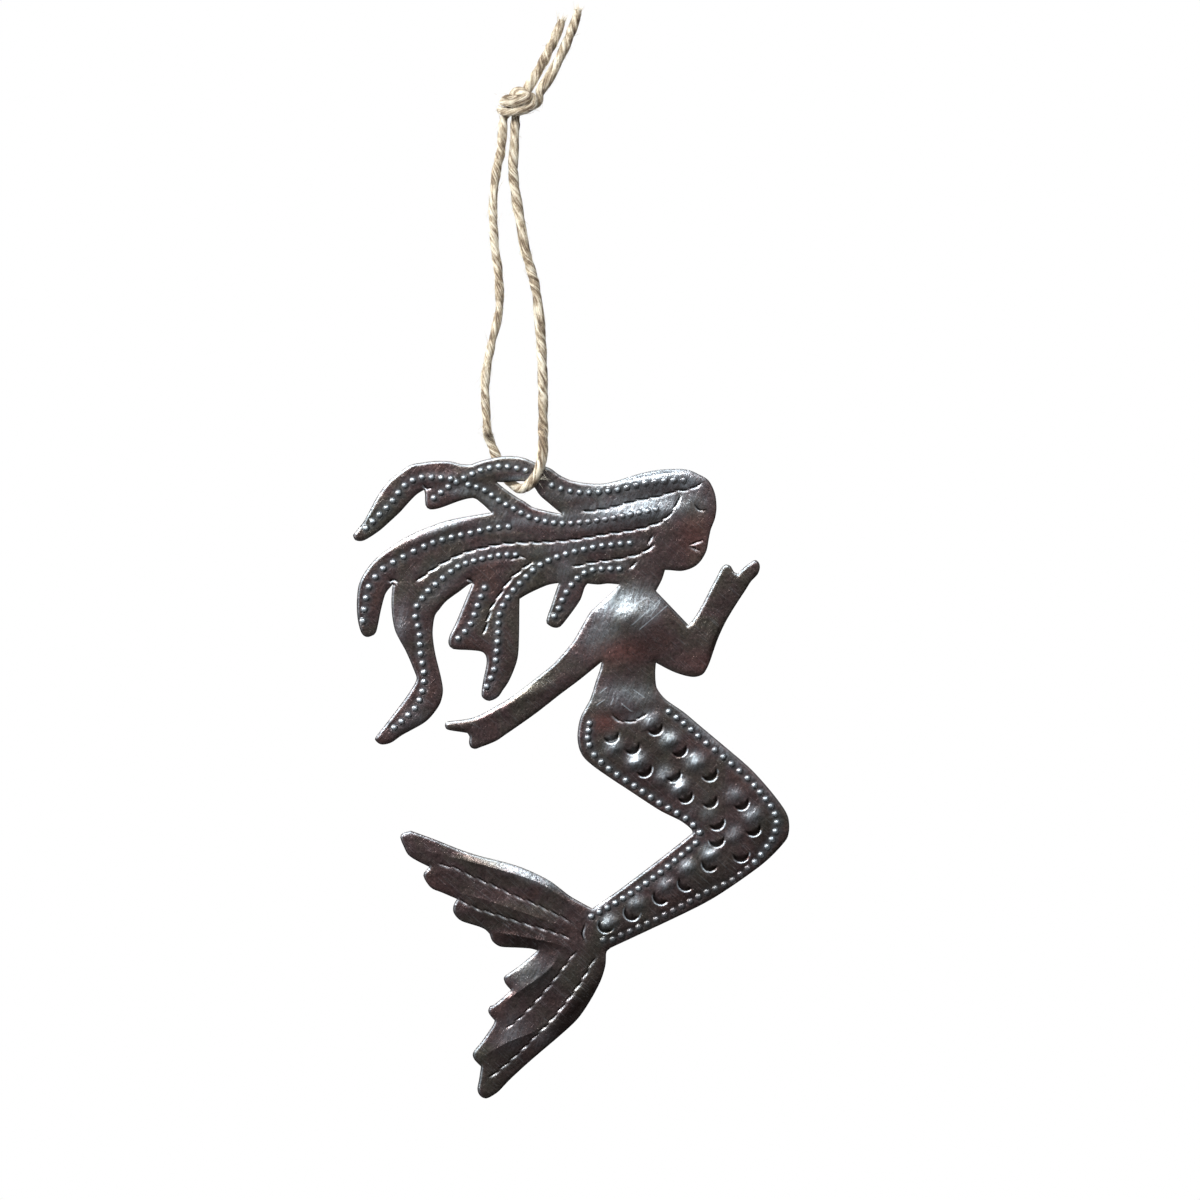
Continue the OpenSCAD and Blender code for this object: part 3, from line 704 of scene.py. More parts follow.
def outer_loop(triangles):
    """The outline as a closed loop of (x, z), which is the longest of those that the sheet's walls make."""
    low, high = triangles[:, :, 1].min(1), triangles[:, :, 1].max(1)
    # Walls cross the whole sheet and end with it, which the sides of the dots don't
    walls = triangles[(high - low > SHEET_T * 0.98) & (high < SHEET_T * 0.52) & (low > -SHEET_T * 0.52)]
    after = {}
    for wall in walls:
        back = [tuple(np.round(p[[0, 2]], 3)) for p in wall if p[1] > 0]
        if len(back) == 2:
            for one, other in (back, back[::-1]):
                after.setdefault(one, []).append(other)
    loops = []
    while after:
        start = next(iter(after))
        loop, here, came = [], start, None
        while here in after:
            onward = [p for p in after.pop(here) if p != came]
            loop.append(here)
            came, here = here, next((p for p in onward if p in after), None)
        loops.append(np.array(loop))
    return max(loops, key=len)


def smooth_loop(loop, step):
    """A loop's points a step apart, smooth between its corners."""
    before = loop - np.roll(loop, 1, 0)
    ahead = np.roll(loop, -1, 0) - loop
    turn = np.degrees(np.arctan2(before[:, 0] * ahead[:, 1] - before[:, 1] * ahead[:, 0],
                                 (before * ahead).sum(1)))
    corners = [i for i in range(len(loop)) if abs(turn[i]) > CORNER_DEG] or [0]
    out = []
    for k, first in enumerate(corners):
        last = corners[(k + 1) % len(corners)]
        count = (last - first) % len(loop) or len(loop)
        run = loop[[(first + j) % len(loop) for j in range(count + 1)]]
        out.extend(smooth_line(run, step)[:-1])
    return np.array(out)


def dot_centres(triangles):
    """Centres of the dots: the middles of the caps that stand out of the front."""
    top = -SHEET_T / 2 - DOT_H * 0.75
    caps = triangles[(triangles[:, :, 1] < top).all(1)]
    middles = caps.mean(1)[:, [0, 2]]
    sizes = np.linalg.norm(np.cross(caps[:, 1] - caps[:, 0], caps[:, 2] - caps[:, 0]), axis=1)
    left = np.ones(len(middles), bool)
    found = []
    while left.any():
        centre = middles[np.argmax(left)]
        for _ in range(4):
            near = left & (np.linalg.norm(middles - centre, axis=1) < DOT_R)
            centre = (middles[near] * sizes[near, None]).sum(0) / sizes[near].sum()
        found.append(centre)
        left &= np.linalg.norm(middles - centre, axis=1) > DOT_R
    return np.array(found)


def strikes(line):
    """The separate blows of the chisel along a line, each leaning a little across it."""
    blows = []
    for blow in np.array_split(line, max(1, round(len(line) * GROOVE_STEP / STRIKE_LENGTH))):
        way = unit(blow[-1] - blow[0])
        up = np.array([-way[1], way[0]]) * (1 if way[0] > 0 else -1)
        lean = STRIKE_LEAN * np.linspace(0.5, -0.5, len(blow)) * (1 if way[0] > 0 else -1)
        blows.append((blow + up * lean[:, None])[:max(len(blow) - 1, 2)])
    return blows


def wall_tree(lines, closed):
    """A tree of upright strips along lines of (x, z), to find the nearest point of a line."""
    verts, faces, owner = [], [], []
    for number, line in enumerate(lines):
        base = len(verts)
        for x, z in line:
            verts += [(x, -1, z), (x, 1, z)]
        for i in range(len(line) if closed else len(line) - 1):
            a = base + 2 * i
            b = base + 2 * ((i + 1) % len(line))
            faces.append((a, b, b + 1, a + 1))
            owner.append((number, i))
    return BVHTree.FromPolygons(verts, faces), owner


def nearest_on(tree, points):
    """Distance from each point to the tree's lines, the strip that is nearest, and the way from it."""
    found = [tree.find_nearest((x, 0, z)) for x, z in points]
    feet = np.array([(f[0].x, f[0].z) for f in found])
    return np.array([f[3] for f in found]), np.array([f[2] for f in found]), np.asarray(points) - feet


def inside(points, loops):
    """True for the points within the outline and outside the slot."""
    points = np.asarray(points)
    crossed = np.zeros(len(points), int)
    for loop in loops:
        for (x0, z0), (x1, z1) in zip(loop, np.roll(loop, -1, 0)):
            if z0 != z1:
                between = (points[:, 1] > min(z0, z1)) & (points[:, 1] <= max(z0, z1))
                x = x0 + (points[between, 1] - z0) / (z1 - z0) * (x1 - x0)
                crossed[between] += points[between, 0] < x
    return crossed % 2 == 1


class Points:
    """Points of a drawing that keep a least distance from each other."""

    def __init__(self):
        self.grid = {}
        self.all = []

    def cell(self, x, z):
        return math.floor(x / POINT_CELL), math.floor(z / POINT_CELL)

    def free(self, x, z, gap):
        reach = int(gap / POINT_CELL) + 1
        cx, cz = self.cell(x, z)
        for i in range(cx - reach, cx + reach + 1):
            for j in range(cz - reach, cz + reach + 1):
                for px, pz in self.grid.get((i, j), ()):
                    if (px - x) ** 2 + (pz - z) ** 2 < gap * gap:
                        return False
        return True

    def add(self, points, gap):
        for x, z in points:
            if not gap or self.free(x, z, gap):
                self.grid.setdefault(self.cell(x, z), []).append((x, z))
                self.all.append((x, z))


def ring_points(centres, rings):
    """Rings of points round each centre, where each ring is a radius and a count."""
    out = []
    for x, z in centres:
        for radius, count in rings:
            for k in range(count):
                angle = 2 * math.pi * (k + 0.5 * (count % 2)) / count
                out.append((x + radius * math.cos(angle), z + radius * math.sin(angle)))
    return out


def beside(line, offsets):
    """Points on both sides of a line, at each of the offsets."""
    way = unit(np.gradient(line, axis=0))
    side = np.stack([-way[:, 1], way[:, 0]], 1)
    return np.concatenate([line + side * offset for offset in offsets])


def hex_points(low, high, step):
    """Points a step apart in rows that are shifted in turn, over a whole box."""
    row = step * HEX_ROW_SHARE
    rows = int((high[1] - low[1]) / row) + 1
    cols = int((high[0] - low[0]) / step) + 1
    return [(low[0] + (i + 0.5 * (j % 2)) * step, low[1] + j * step * HEX_ROW_SHARE)
            for j in range(rows) for i in range(cols)]


def ellipse_shares(points, ellipses):
    """How far each point lies from the middle of each ellipse, where 1 is its edge."""
    for px, py, half_a, half_b, turn, amount in ellipses:
        away = points - np.array(spot(px, py))
        c, s = math.cos(math.radians(turn)), math.sin(math.radians(turn))
        along = (away[:, 0] * c + away[:, 1] * s) / (half_a * PX_MM)
        across = (away[:, 1] * c - away[:, 0] * s) / (half_b * PX_MM)
        yield along ** 2 + across ** 2, amount


def patches(points, table, steepness=PATCH_STEEPNESS):
    """The strongest of a table's soft-edged patches at each point."""
    total = np.zeros(len(points))
    for share, amount in ellipse_shares(points, table):
        total = np.maximum(total, amount * np.exp(-steepness * share))
    return total


def burnish_and_highlight(points):
    """Where the steel is burnished and highlights are painted: its own patches, and the lit slopes between
    the scales.
    """
    total = patches(points, BURNISH_AND_HIGHLIGHT_PX, BURNISH_AND_HIGHLIGHT_STEEPNESS)
    for px, py, share in MOUNDS_PX:
        away = np.linalg.norm(points - np.array(spot(px, py)), axis=1)
        total = np.maximum(total, share * bell(away, MOUND_HIGHLIGHT_R))
    return total


def bulges(points):
    return sum(amount * np.exp(-BULGE_STEEPNESS * share)
               for share, amount in ellipse_shares(points, BULGES_PX))


def lift(field, near, values):
    """Raises a field, where near is true, to the values that are higher than it."""
    field[near] = np.maximum(field[near], values)


class Relief:
    """Height of the steel's front above its flat, at points of the drawing."""

    def __init__(self, loops, dots):
        self.loops = loops
        self.dots = dots
        self.edge_tree, _ = wall_tree(loops, True)
        self.grooves = [(share, blow) for share, line in GROOVES_PX
                        for blow in strikes(smooth_line(spots(line), GROOVE_STEP))]
        self.groove_tree, owner = wall_tree([blow for _, blow in self.grooves], False)
        self.depths = np.array([self.strike(number, i) for number, i in owner])
        self.ridges = [smooth_line(spots(line), GROOVE_STEP) for _, line in RIDGES_PX]
        self.ridge_tree, owner = wall_tree(self.ridges, False)
        self.ridge_heights = np.array([RIDGES_PX[number][0] * self.taper(self.ridges[number], i)
                                       for number, i in owner])
        self.scratches = [spread(spots(ends), SCRATCH_STEP) for ends in SCRATCHES_PX]
        self.scratch_tree, _ = wall_tree(self.scratches, False)
        self.scales = [(spot(px, py), math.radians(facing)) for px, py, facing in SCALES_PX]

    def taper(self, line, i):
        """Share that rises from 0.3 at both ends of a ridge to 1 further in."""
        end = min(i, max(len(line) - 2, 1) - i) * GROOVE_STEP
        return min(1.0, 0.3 + 0.7 * end / RIDGE_TAPER)

    def strike(self, number, i):
        """Depth share of a blow at one of its steps, least at both ends."""
        share, blow = self.grooves[number]
        return share * math.sin(math.pi * (i + 0.5) / (len(blow) - 1)) ** STRIKE_POWER

    def edge(self, points):
        return nearest_on(self.edge_tree, points)[0]

    def dot_force(self, centre):
        """Height share of a dot, which is less along the lines of faint ones."""
        for start, end, share in FAINT_DOTS_PX:
            start, way = np.array(spot(*start)), np.array(spot(*end)) - spot(*start)
            along = limited((centre - start) @ way / (way @ way))
            if np.linalg.norm(centre - start - along * way) < FAINT_REACH_PX * PX_MM:
                return share
        return 1.0

    def dot_heights(self, points):
        """Height of the dots above the sheet that sinks round them, and shares of worn tops and of painted
        shadow round their feet, darkest on the side away from the light.
        """
        cap, moat, wear, painted_shade = np.zeros((4, len(points)))
        for centre in self.dots:
            near = (np.abs(points - centre) < DOT_REACH).all(1)
            away = points[near] - centre
            rho = np.linalg.norm(away, axis=1) / DOT_R
            force = self.dot_force(centre)
            # Painted shadow in a ring round each dot's foot, darkest on the side away from the light
            shady = limited(-unit(away) @ LIGHT_WAY)
            ring = bell(rho - 1.08, 0.24) * (0.2 + 0.8 * shady)
            lift(cap, near, force * DOT_H * limited(1 - rho ** 2.5) ** 0.8)
            lift(moat, near, MOAT_H * np.where(rho > 1, bell(rho - 1, MOAT_SHARE), 1))
            lift(wear, near, force ** 2 * limited(1.4 - rho))
            lift(painted_shade, near, ring * force ** 2)
        return cap - moat, wear, painted_shade

    def scale_heights(self, points):
        """Height of the fish scales, and the shares of painted shade in their pits and of painted highlight
        along the middle of their lips.
        """
        height, shade, painted_lip_glint = np.zeros((3, len(points)))
        for centre, facing in self.scales:
            away = points - np.array(centre)
            near = (np.abs(away) < SCALE_REACH).all(1)
            away = away[near]
            rho = np.linalg.norm(away, axis=1)
            way = np.array([math.cos(facing), math.sin(facing)])
            inner = np.linalg.norm(away + SCALE_CRESCENT_W * way, axis=1)
            along = (away @ way) / SCALE_R
            deep = smooth_share((inner - SCALE_R + 0.1) / 0.5) * smooth_share((along + 0.2) / 0.3)
            height[near] += deep * np.interp(rho - SCALE_R, *zip(*SCALE_WALL))
            # Painted shade on the floor of each pit, darkest by the foot of its wall
            floor = smooth_share((SCALE_R - 0.18 - rho) / 0.1)
            foot = bell(SCALE_R - 0.35 - rho, 0.25)
            lift(shade, near, deep * floor * (0.5 + 0.5 * foot))
            # Painted highlight along the middle of each scale's lip, the wall that faces the light
            faces_light = smooth_share((along - 0.15 + waves(points[near], 0.9, 6.3)) / 0.6)
            lift(painted_lip_glint, near, bell(rho - SCALE_R + 0.05, 0.14) * faces_light)
        return height + self.mounds(points), shade, painted_lip_glint

    def mounds(self, points):
        """The tiles between the scales, each highest a little away from the light of its lit slope."""
        height = np.zeros(len(points))
        turn = math.radians(MOUND_TURN)
        along = np.array([math.cos(turn), math.sin(turn)])
        across = np.array([-math.sin(turn), math.cos(turn)])
        for px, py, share in MOUNDS_PX:
            summit = np.array(spot(px, py)) - MOUND_AWAY * LIGHT_WAY
            near = (np.abs(points - summit) < MOUND_REACH).all(1)
            away = points[near] - summit
            uneven = waves(points[near], 0.7, 1.9)
            steep = np.where(away @ across < 0, MOUND_FAR_SHARE, 1)
            reach = ((away @ along) / MOUND_R[0]) ** 2 + steep * ((away @ across) / MOUND_R[1]) ** 2
            lift(height, near, share * MOUND_H * np.exp(-reach * (1 + 0.8 * uneven)))
        return height

    def heights(self, points):
        """Height, and the shares of worn steel and of painted shade, at each point; the worn steel is real
        on scratches, real and partly a painted highlight on the dots' tops, and a painted highlight on lit
        edges and lips.
        """
        edge, _, inward = nearest_on(self.edge_tree, points)
        groove, nearest, away = nearest_on(self.groove_tree, points)
        scratch = nearest_on(self.scratch_tree, points)[0]
        depth = self.depths[nearest]
        lit = away @ LIGHT_WAY < 0
        cut = GROOVE_DEPTH * depth * limited(1 - groove / np.where(lit, GROOVE_LIT_W, GROOVE_STEEP_W))
        bank = GROOVE_BANK_H * depth * np.exp(-groove / GROOVE_BANK_W)
        slope = limited((edge - RIM_LAND) / (RIM_W - RIM_LAND))
        rim = RIM_DROP * (1 - slope) ** 1.4
        shoulder = SHOULDER_DROP * np.exp(-edge / SHOULDER_W)
        dots, dot_wear, dot_painted_shadow = self.dot_heights(points)
        scales, pits, lips = self.scale_heights(points)
        crease, nearest, _ = nearest_on(self.ridge_tree, points)
        ridge = self.ridge_heights[nearest] * np.exp(-crease / RIDGE_W)
        uneven = 0.07 * waves(points, 0.14, 3.1) + 0.03 * waves(points, 0.4, 7.7)
        height = (dots + scales * smooth_share(edge / 0.6)
                  + (bulges(points) + uneven + ridge) * smooth_share(edge / FADE_W)
                  - rim - shoulder - cut - bank)

        # Painted highlights on the edges that face the light and on the lit lips of the grooves
        toward = limited(-unit(inward) @ LIGHT_WAY)
        rim_painted_highlight = bell(edge - RIM_PAINTED_HIGHLIGHT[0], RIM_PAINTED_HIGHLIGHT[1]) * (0.05 + 0.75 * toward)
        lip_painted_highlight = bell(groove - LIP_PAINTED_HIGHLIGHT[0], LIP_PAINTED_HIGHLIGHT[1]) * lit * limited(depth * 1.1) ** 1.5
        scratch_wear = bell(scratch - SCRATCH_SHINE[0], SCRATCH_SHINE[1]) * 0.9
        wear = np.maximum.reduce([dot_wear * 0.8, rim_painted_highlight, lip_painted_highlight, scratch_wear, lips])
        # Painted shade down the grooves, along the outline, in the scale pits and round the dots' feet
        dark_line = bell(groove - GROOVE_PAINTED_SHADE[0], GROOVE_PAINTED_SHADE[1]) * limited(depth * 1.4)
        land = limited((LAND_PAINTED_SHADE[0] - edge) / LAND_PAINTED_SHADE[1]) * 0.9
        painted_shade = np.maximum.reduce([dark_line, pits * 0.95, land, dot_painted_shadow * 0.95])
        return height, wear, painted_shade

    def back_heights(self, points):
        """How far the back stands out, which is negative in the hollows behind dots and bulges."""
        edge = self.edge(points)
        hollow = np.zeros(len(points))
        for centre in self.dots:
            near = (np.abs(points - centre) < DIMPLE_REACH).all(1)
            rho = np.linalg.norm(points[near] - centre, axis=1) / DIMPLE_R
            lift(hollow, near, DIMPLE_H * limited(1 - rho ** 2))
        scales = np.clip(self.scale_heights(points)[0], -0.05, 0.4)
        rim = BACK_RIM_DROP * limited(1 - edge / BACK_RIM_W) ** 2
        uneven = np.abs(0.05 * waves(points, 0.2, 5.5))
        fade = smooth_share(edge / FADE_W)
        soft = BACK_BULGE_SHARE * bulges(points) + BACK_SCALE_SHARE * scales + uneven
        return -hollow - soft * fade - rim - BACK_SUNK


def drawing(relief, rings, dot_rings, step, chased):
    """Triangles over the figure: points of (x, z), with the loops' first, and triples of their numbers."""
    cloud = Points()
    edges = []
    for loop in relief.loops:
        base = len(cloud.all)
        cloud.add(loop, 0)
        edges += [(base + i, base + (i + 1) % len(loop)) for i in range(len(loop))]

    def keep(points, gap, margin=LEAST_MARGIN):
        points = np.array(points)
        points = points[inside(points, relief.loops)]
        points = points[relief.edge(points) > margin]
        cloud.add(points, gap)

    for offset in rings:
        gap = min(0.2 + offset * 0.2, OUTLINE_STEP * 0.9)
        for loop in relief.loops:
            keep(beside(loop, (offset, -offset)), gap, offset * 0.93)
    keep(ring_points(relief.dots, dot_rings), LEAST_GAP)
    if chased:
        lines = [blow for _, blow in relief.grooves] + relief.ridges
        for offset in GROOVE_RINGS:
            offsets = (offset, -offset) if offset else (0.0,)
            keep([p for line in lines for p in beside(line, offsets)], LEAST_GAP + offset * 0.12)
        keep([p for line in relief.scratches for p in beside(line, SCRATCH_RINGS)], LEAST_GAP)
        angles = np.radians(np.arange(-SCALE_HALF_TURN_DEG, SCALE_HALF_TURN_DEG + 1, SCALE_STEP_DEG))
        for radius in SCALE_RINGS:
            keep([(x + radius * math.cos(angle), z + radius * math.sin(angle))
                  for (x, z), facing in relief.scales for angle in angles + facing], SCALE_RING_GAP)
    low, high = relief.loops[0].min(0), relief.loops[0].max(0)
    keep(hex_points(low, high, step), step * 0.62, FILL_MARGIN)

    verts = [Vector(p) for p in cloud.all]
    found = delaunay_2d_cdt(verts, edges, [], 1, 1e-6)
    points = np.array([tuple(v) for v in found[0]])
    triangles = np.array([f for f in found[2] if len(f) == 3])
    triangles = triangles[inside(points[triangles].mean(1), relief.loops)]
    a, b, c = (points[triangles[:, k]] for k in range(3))
    area = (b[:, 0] - a[:, 0]) * (c[:, 1] - a[:, 1]) - (b[:, 1] - a[:, 1]) * (c[:, 0] - a[:, 0])
    triangles[area < 0] = triangles[area < 0][:, ::-1]
    return points, triangles


def map_for_bake(mesh, places, front_count, wall_count):
    """A flat map: the front on one half, the back beside it, and the cut edge as a strip below."""
    index = np.zeros(len(mesh.loops), int)
    mesh.loops.foreach_get("vertex_index", index)
    low, high = places.min(0), places.max(0)
    uv = MAP_MARGIN + (places[index] - low) * (0.5 - 2 * MAP_MARGIN) / (high - low)[0]
    uv[:, 1] += MAP_STRIP
    uv[index >= front_count, 0] += 0.5
    number = np.repeat(np.arange(wall_count), 4)
    strip = uv[-len(number):]
    strip[:, 0] = (number + np.tile((0, 1, 1, 0), wall_count)) / wall_count
    strip[:, 1] = np.where(index[-len(number):] >= front_count, MAP_STRIP / 2, 0)
    layer = mesh.uv_layers.new(name="OFBake")
    layer.data.foreach_set("uv", uv.astype(np.float32).ravel())


def make_plate(material):
    triangles = plate_triangles(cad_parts["mermaid_plate"])
    loops = [smooth_loop(loop, OUTLINE_STEP) for loop in (outer_loop(triangles), spots(SLOT_PX))]
    relief = Relief(loops, dot_centres(triangles))
    front, front_faces = drawing(relief, RIM_RINGS, DOT_RINGS, FILL_STEP, True)
    back, back_faces = drawing(relief, BACK_RIM_RINGS, DIMPLE_RINGS, BACK_FILL_STEP, False)
    height, wear, painted_shade = relief.heights(front)
    places = np.concatenate([front, back])
    across = np.concatenate([-(SHEET_T / 2 + height), SHEET_T / 2 + relief.back_heights(back)])
    verts = np.stack([places[:, 0], across, places[:, 1]], 1) * MM
    count = len(front)
    faces = [tuple(f) for f in front_faces] + [tuple(f[::-1] + count) for f in back_faces]
    base = 0
    for loop in loops:
        clockwise = (loop[:, 0] * np.roll(loop[:, 1], -1) - np.roll(loop[:, 0], -1) * loop[:, 1]).sum() < 0
        outer = base == 0
        for i in range(len(loop)):
            a, b = base + i, base + (i + 1) % len(loop)
            wall = (a, b, b + count, a + count)
            faces.append(wall if clockwise == outer else wall[::-1])
        base += len(loop)
    plate = mesh_object("steel_mermaid", verts, faces, material, SMOOTH_DEG)
    # What the material reads at each point of the front, and all over the back
    shares = {
        "wear": (wear, 0.0),
        "painted_shade": (painted_shade, 0.0),
        "burnish_and_highlight": (burnish_and_highlight(front), 0.15),
        "rust": (patches(front, RUST_PX), 0.2),
        "soot": (patches(front, SOOT_PX), 0.3),
    }
    for name, (values, behind) in shares.items():
        set_attribute(plate.data, name, np.concatenate([values, np.full(len(back), behind)]))
    map_for_bake(plate.data, places, count, base)
    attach(plate, "mermaid")
    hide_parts("mermaid_plate")


def new_material(name):
    material = bpy.data.materials.new(name)
    material.use_nodes = True
    return material, material.node_tree, material.node_tree.nodes["Principled BSDF"]


def set_input(tree, socket, value):
    """Links a socket to another one, or sets it to a number or a colour."""
    if isinstance(value, bpy.types.NodeSocket):
        tree.links.new(value, socket)
    elif value is not None:
        four = isinstance(value, tuple) and len(socket.default_value) == 4
        socket.default_value = (*value, 1)[:4] if four else value


def add(tree, kind, values=None, **settings):
    """A new node with its settings and its inputs set."""
    node = tree.nodes.new("ShaderNode" + kind)
    for key, value in settings.items():
        setattr(node, key, value)
    for key, value in (values or {}).items():
        set_input(tree, node.inputs[key], value)
    return node


def ramp(tree, source, stops):
    """A colour ramp: stops are (place, colour)."""
    node = add(tree, "ValToRGB", {"Fac": source})
    elements = node.color_ramp.elements
    while len(elements) < len(stops):
        elements.new(0.5)
    for element, (place, color) in zip(elements, stops):
        element.position = place
        element.color = (*color, 1)
    return node.outputs["Color"]


def grey_ramp(tree, source, *stops):
    """A ramp of greys: stops are (place, value)."""
    return ramp(tree, source, [(place, (value,) * 3) for place, value in stops])


def mix_color(tree, fac, one, other, blend="MIX"):
    return add(tree, "Mix", {0: fac, 6: one, 7: other}, data_type="RGBA", blend_type=blend).outputs[2]


def maths(tree, kind, one, other=0.5, third=None, clamp=False):
    return add(tree, "Math", {0: one, 1: other, 2: third}, operation=kind, use_clamp=clamp).outputs[0]


def field(tree, name, output="Fac"):
    """What the mesh stores at each point under a name."""
    return add(tree, "Attribute", attribute_name=name).outputs[output]


def place_in_mm(tree):
    place = add(tree, "TexCoord").outputs["Object"]
    return add(tree, "Mapping", {"Vector": place, "Scale": (1 / MM,) * 3}).outputs[0]


def noise_field(tree, where, scale, detail, roughness, distortion=0.0):
    return add(tree, "TexNoise", {
        "Vector": where, "Scale": scale, "Detail": detail, "Roughness": roughness,
        "Distortion": distortion}).outputs["Fac"]


def scratch_field(tree, where, turn, length, width, low, high):
    """Thin marks along one direction: noise that is drawn out along it."""
    turned = add(tree, "Mapping", {
        "Vector": where, "Rotation": (0, math.radians(turn), 0), "Scale": (length, width, width)},
        vector_type="TEXTURE")
    return grey_ramp(tree, noise_field(tree, turned.outputs[0], 1.0, 2.0, 0.55), (low, 0.0), (high, 1.0))


def bump(tree, height, strength, distance_mm, under=None):
    return add(tree, "Bump", {
        "Height": height, "Strength": strength, "Distance": distance_mm * MM, "Normal": under}).outputs[0]


def steel_material():
    """Brown lacquer that is speckled, rusty and sooty in places, over steel that shows where it is worn,
    with painted highlights on burnished patches and lit edges and painted shade in its hollows and grooves.
    """
    material, tree, shader = new_material("lacquered_steel")
    mm = place_in_mm(tree)
    wear = field(tree, "wear")

    tint = ramp(tree, noise_field(tree, mm, 0.1, 5.0, 0.55, 0.6), LACQUER_TINTS)
    tint = mix_color(tree, field(tree, "rust"), tint, RUST_TINT)
    speckle = noise_field(tree, mm, 1.9, 6.0, 0.72)
    shade = grey_ramp(tree, speckle, (0.3, 0.6), (0.5, 1.0), (0.72, 1.55))
    base = mix_color(tree, 1.0, tint, shade, "MULTIPLY")
    base = mix_color(tree, maths(tree, "MULTIPLY", field(tree, "soot"), 0.85), base, SOOT_TINT)

    flecks = grey_ramp(tree, noise_field(tree, mm, 3.2, 5.0, 0.75), (0.4, 0.0), (0.6, 1.0))
    streaks = scratch_field(tree, mm, 42, 5.0, 0.22, 0.58, 0.68)
    cross = scratch_field(tree, mm, -50, 4.0, 0.18, 0.61, 0.7)
    marks = maths(tree, "MAXIMUM", streaks, maths(tree, "MULTIPLY", cross, 0.6))
    hatch = scratch_field(tree, mm, -68, 2.2, 0.3, 0.44, 0.6)
    rubbed = maths(tree, "MULTIPLY", maths(tree, "MAXIMUM", hatch, marks), 0.6)
    rubbed = maths(tree, "MULTIPLY_ADD", flecks, 0.4, rubbed)
    rubbed = maths(tree, "MULTIPLY_ADD", rubbed, 0.75, 0.25)
    # Burnished patches broken up by scratches, which also paint highlights and sheen
    polish_and_highlight = maths(tree, "MULTIPLY", field(tree, "burnish_and_highlight"), rubbed, clamp=True)
    bare_and_highlight = maths(tree, "MAXIMUM", polish_and_highlight, maths(tree, "MULTIPLY", marks, 0.1))
    # Worn steel shows too, and on lit edges and lips it is a painted highlight
    bare_and_highlight = maths(tree, "MAXIMUM", bare_and_highlight, maths(tree, "MULTIPLY", wear, 0.85))
    color = mix_color(tree, bare_and_highlight, base, STEEL_AND_HIGHLIGHT_TINT)
    # Painted shade in the hollows, down the grooves and along the outline
    color = mix_color(tree, field(tree, "painted_shade"), color, PAINTED_SHADE_TINT)
    set_input(tree, shader.inputs["Base Color"], color)

    shader.inputs["Metallic"].default_value = 0.9
    rough = maths(tree, "MULTIPLY_ADD", speckle, 0.24, 0.16)
    rough = maths(tree, "MULTIPLY_ADD", polish_and_highlight, 0.06, rough)
    rough = maths(tree, "MULTIPLY_ADD", wear, 0.18, rough)
    set_input(tree, shader.inputs["Roughness"], rough)
    shader.inputs["Coat Weight"].default_value = 0.15
    shader.inputs["Coat Roughness"].default_value = 0.2

    dents = bump(tree, noise_field(tree, mm, 0.5, 3.0, 0.5), 0.4, 0.4)
    grain_strength = maths(tree, "MULTIPLY_ADD", wear, 0.3, 0.24)
    grain = bump(tree, noise_field(tree, mm, 2.8, 5.0, 0.65), grain_strength, 0.09, dents)
    set_input(tree, shader.inputs["Normal"], bump(tree, marks, 0.4, 0.03, grain))
    return material


def jute_material():
    """Fibres that follow the lay of the plies, light and dark, with painted shade in the valleys between
    the plies and in the knot.
    """
    material, tree, shader = new_material("jute_twine")
    cloudy = noise_field(tree, place_in_mm(tree), 0.5, 5.0, 0.6)
    fibres = noise_field(tree, field(tree, "lay", "Vector"), 7.5, 6.0, 0.84, 1.2)
    both = maths(tree, "MULTIPLY_ADD", field(tree, "strand"), 0.24, maths(tree, "MULTIPLY", cloudy, 0.3))
    both = maths(tree, "MULTIPLY_ADD", fibres, 0.46, both)
    # Painted shade in the valleys between the plies and in the knot
    valley_shade = maths(tree, "MULTIPLY", field(tree, "groove"), 0.45)
    color = mix_color(tree, valley_shade, ramp(tree, both, JUTE_TINTS), JUTE_PAINTED_SHADE_TINT)
    set_input(tree, shader.inputs["Base Color"], color)
    shader.inputs["Roughness"].default_value = 0.85
    shader.inputs["Sheen Weight"].default_value = 0.1
    shader.inputs["Sheen Roughness"].default_value = 0.6
    set_input(tree, shader.inputs["Normal"], bump(tree, fibres, 0.7, 0.2))
    return material


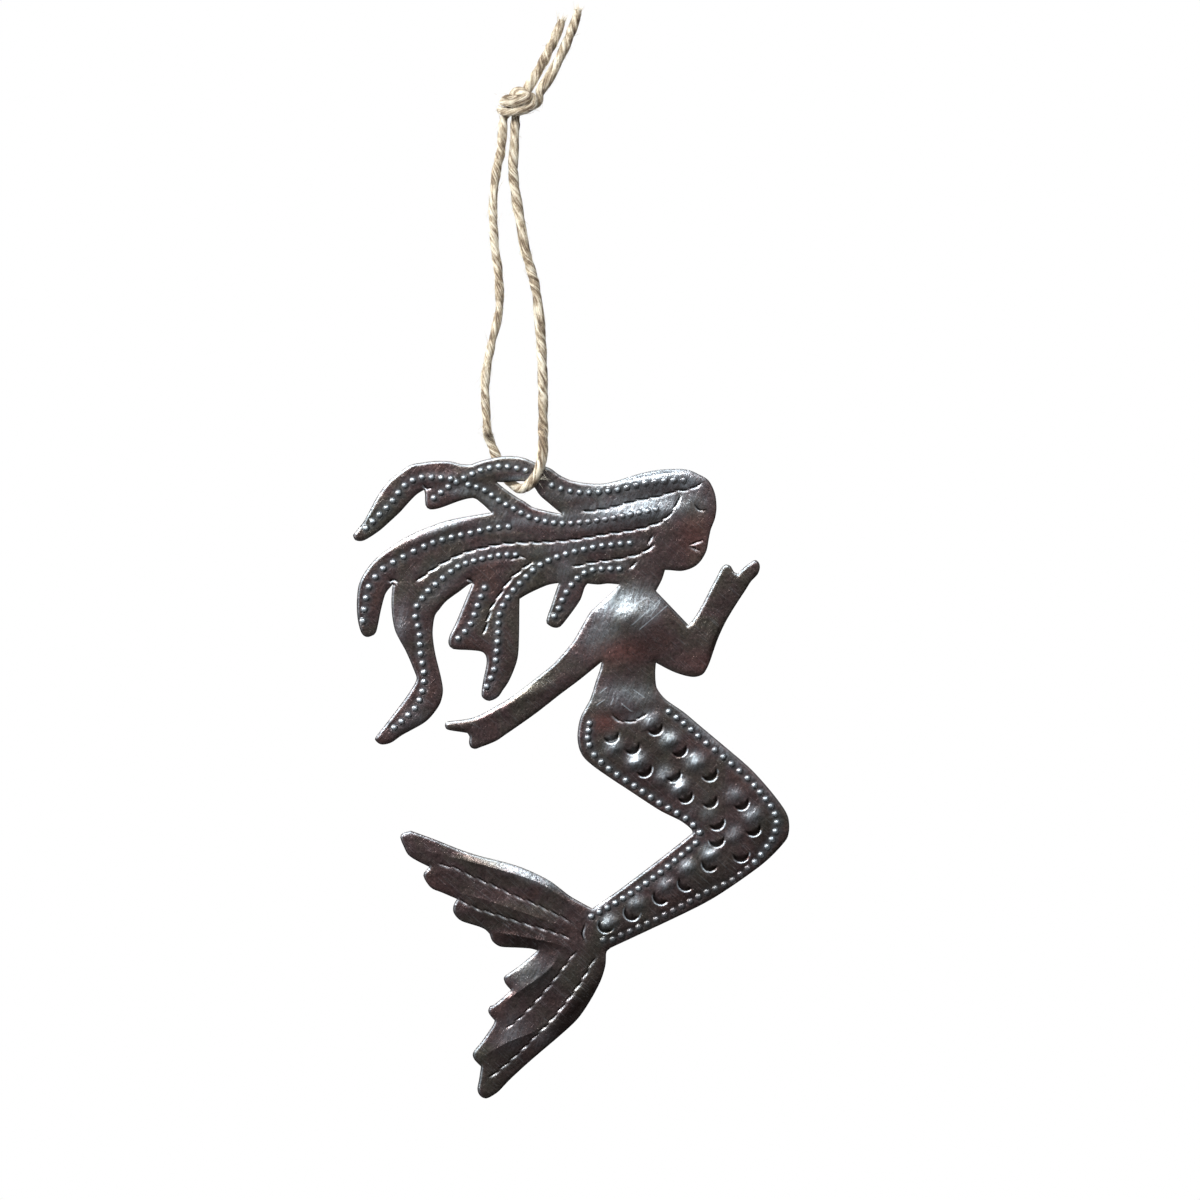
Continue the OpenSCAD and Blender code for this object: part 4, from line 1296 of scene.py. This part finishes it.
def make_world():
    """A dim plain room, lighter towards the upper left, that shows as plain white to the camera."""
    world = bpy.data.worlds.new("studio")
    world.use_nodes = True
    bpy.context.scene.world = world
    tree = world.node_tree
    way = add(tree, "TexCoord").outputs["Generated"]
    toward = add(tree, "VectorMath", {0: way, 1: WORLD_LIGHTER_WAY}, operation="DOT_PRODUCT")
    share = maths(tree, "MULTIPLY_ADD", toward.outputs["Value"], WORLD_STEEPNESS, 0.5, clamp=True)
    color = mix_color(tree, share, WORLD_LOWER_RIGHT, WORLD_UPPER_LEFT)
    color = mix_color(tree, add(tree, "LightPath").outputs["Is Camera Ray"], color, WORLD_SEEN)
    background = tree.nodes["Background"]
    set_input(tree, background.inputs["Color"], color)
    background.inputs["Strength"].default_value = WORLD_STRENGTH


def paper_material():
    """Pale paper that shows as plain white to the camera and in reflections."""
    material, tree, shader = new_material("studio_white")
    shader.inputs["Base Color"].default_value = PAPER
    shader.inputs["Roughness"].default_value = 0.9
    path = add(tree, "LightPath").outputs
    seen = maths(tree, "MAXIMUM", path["Is Camera Ray"], path["Is Glossy Ray"])
    seen = maths(tree, "MAXIMUM", seen, path["Is Transmission Ray"])
    glow = add(tree, "Emission", {"Color": (1, 1, 1, 1), "Strength": 1.0})
    either = add(tree, "MixShader", {0: seen, 1: shader.outputs[0], 2: glow.outputs[0]})
    set_input(tree, tree.nodes["Material Output"].inputs["Surface"], either.outputs[0])
    return material


def make_studio():
    make_world()
    white = paper_material()
    half = BACKDROP_SIZE / 2
    foot, top, front = (BACKDROP_Y, FLOOR_Z), (BACKDROP_Y, half), (FLOOR_FRONT_Y, FLOOR_Z)
    for name, near, far in (("backdrop", foot, top), ("floor", front, foot)):
        corners = [(-half, *near), (half, *near), (half, *far), (-half, *far)]
        mesh_object(name, corners, [(0, 1, 2, 3)], white)
    for name, (at, size, power, color) in LAMPS.items():
        lamp = bpy.data.lights.new(name, "AREA")
        lamp.size = size
        lamp.energy = power
        lamp.color = color
        obj = link(bpy.data.objects.new(name, lamp))
        obj.location = at
        obj.rotation_euler = (Vector(AIM) - Vector(at)).to_track_quat("-Z", "Y").to_euler()
    bpy.context.scene.view_settings.view_transform = "Standard"


make_camera()
make_twine(jute_material())
make_plate(steel_material())
make_studio()
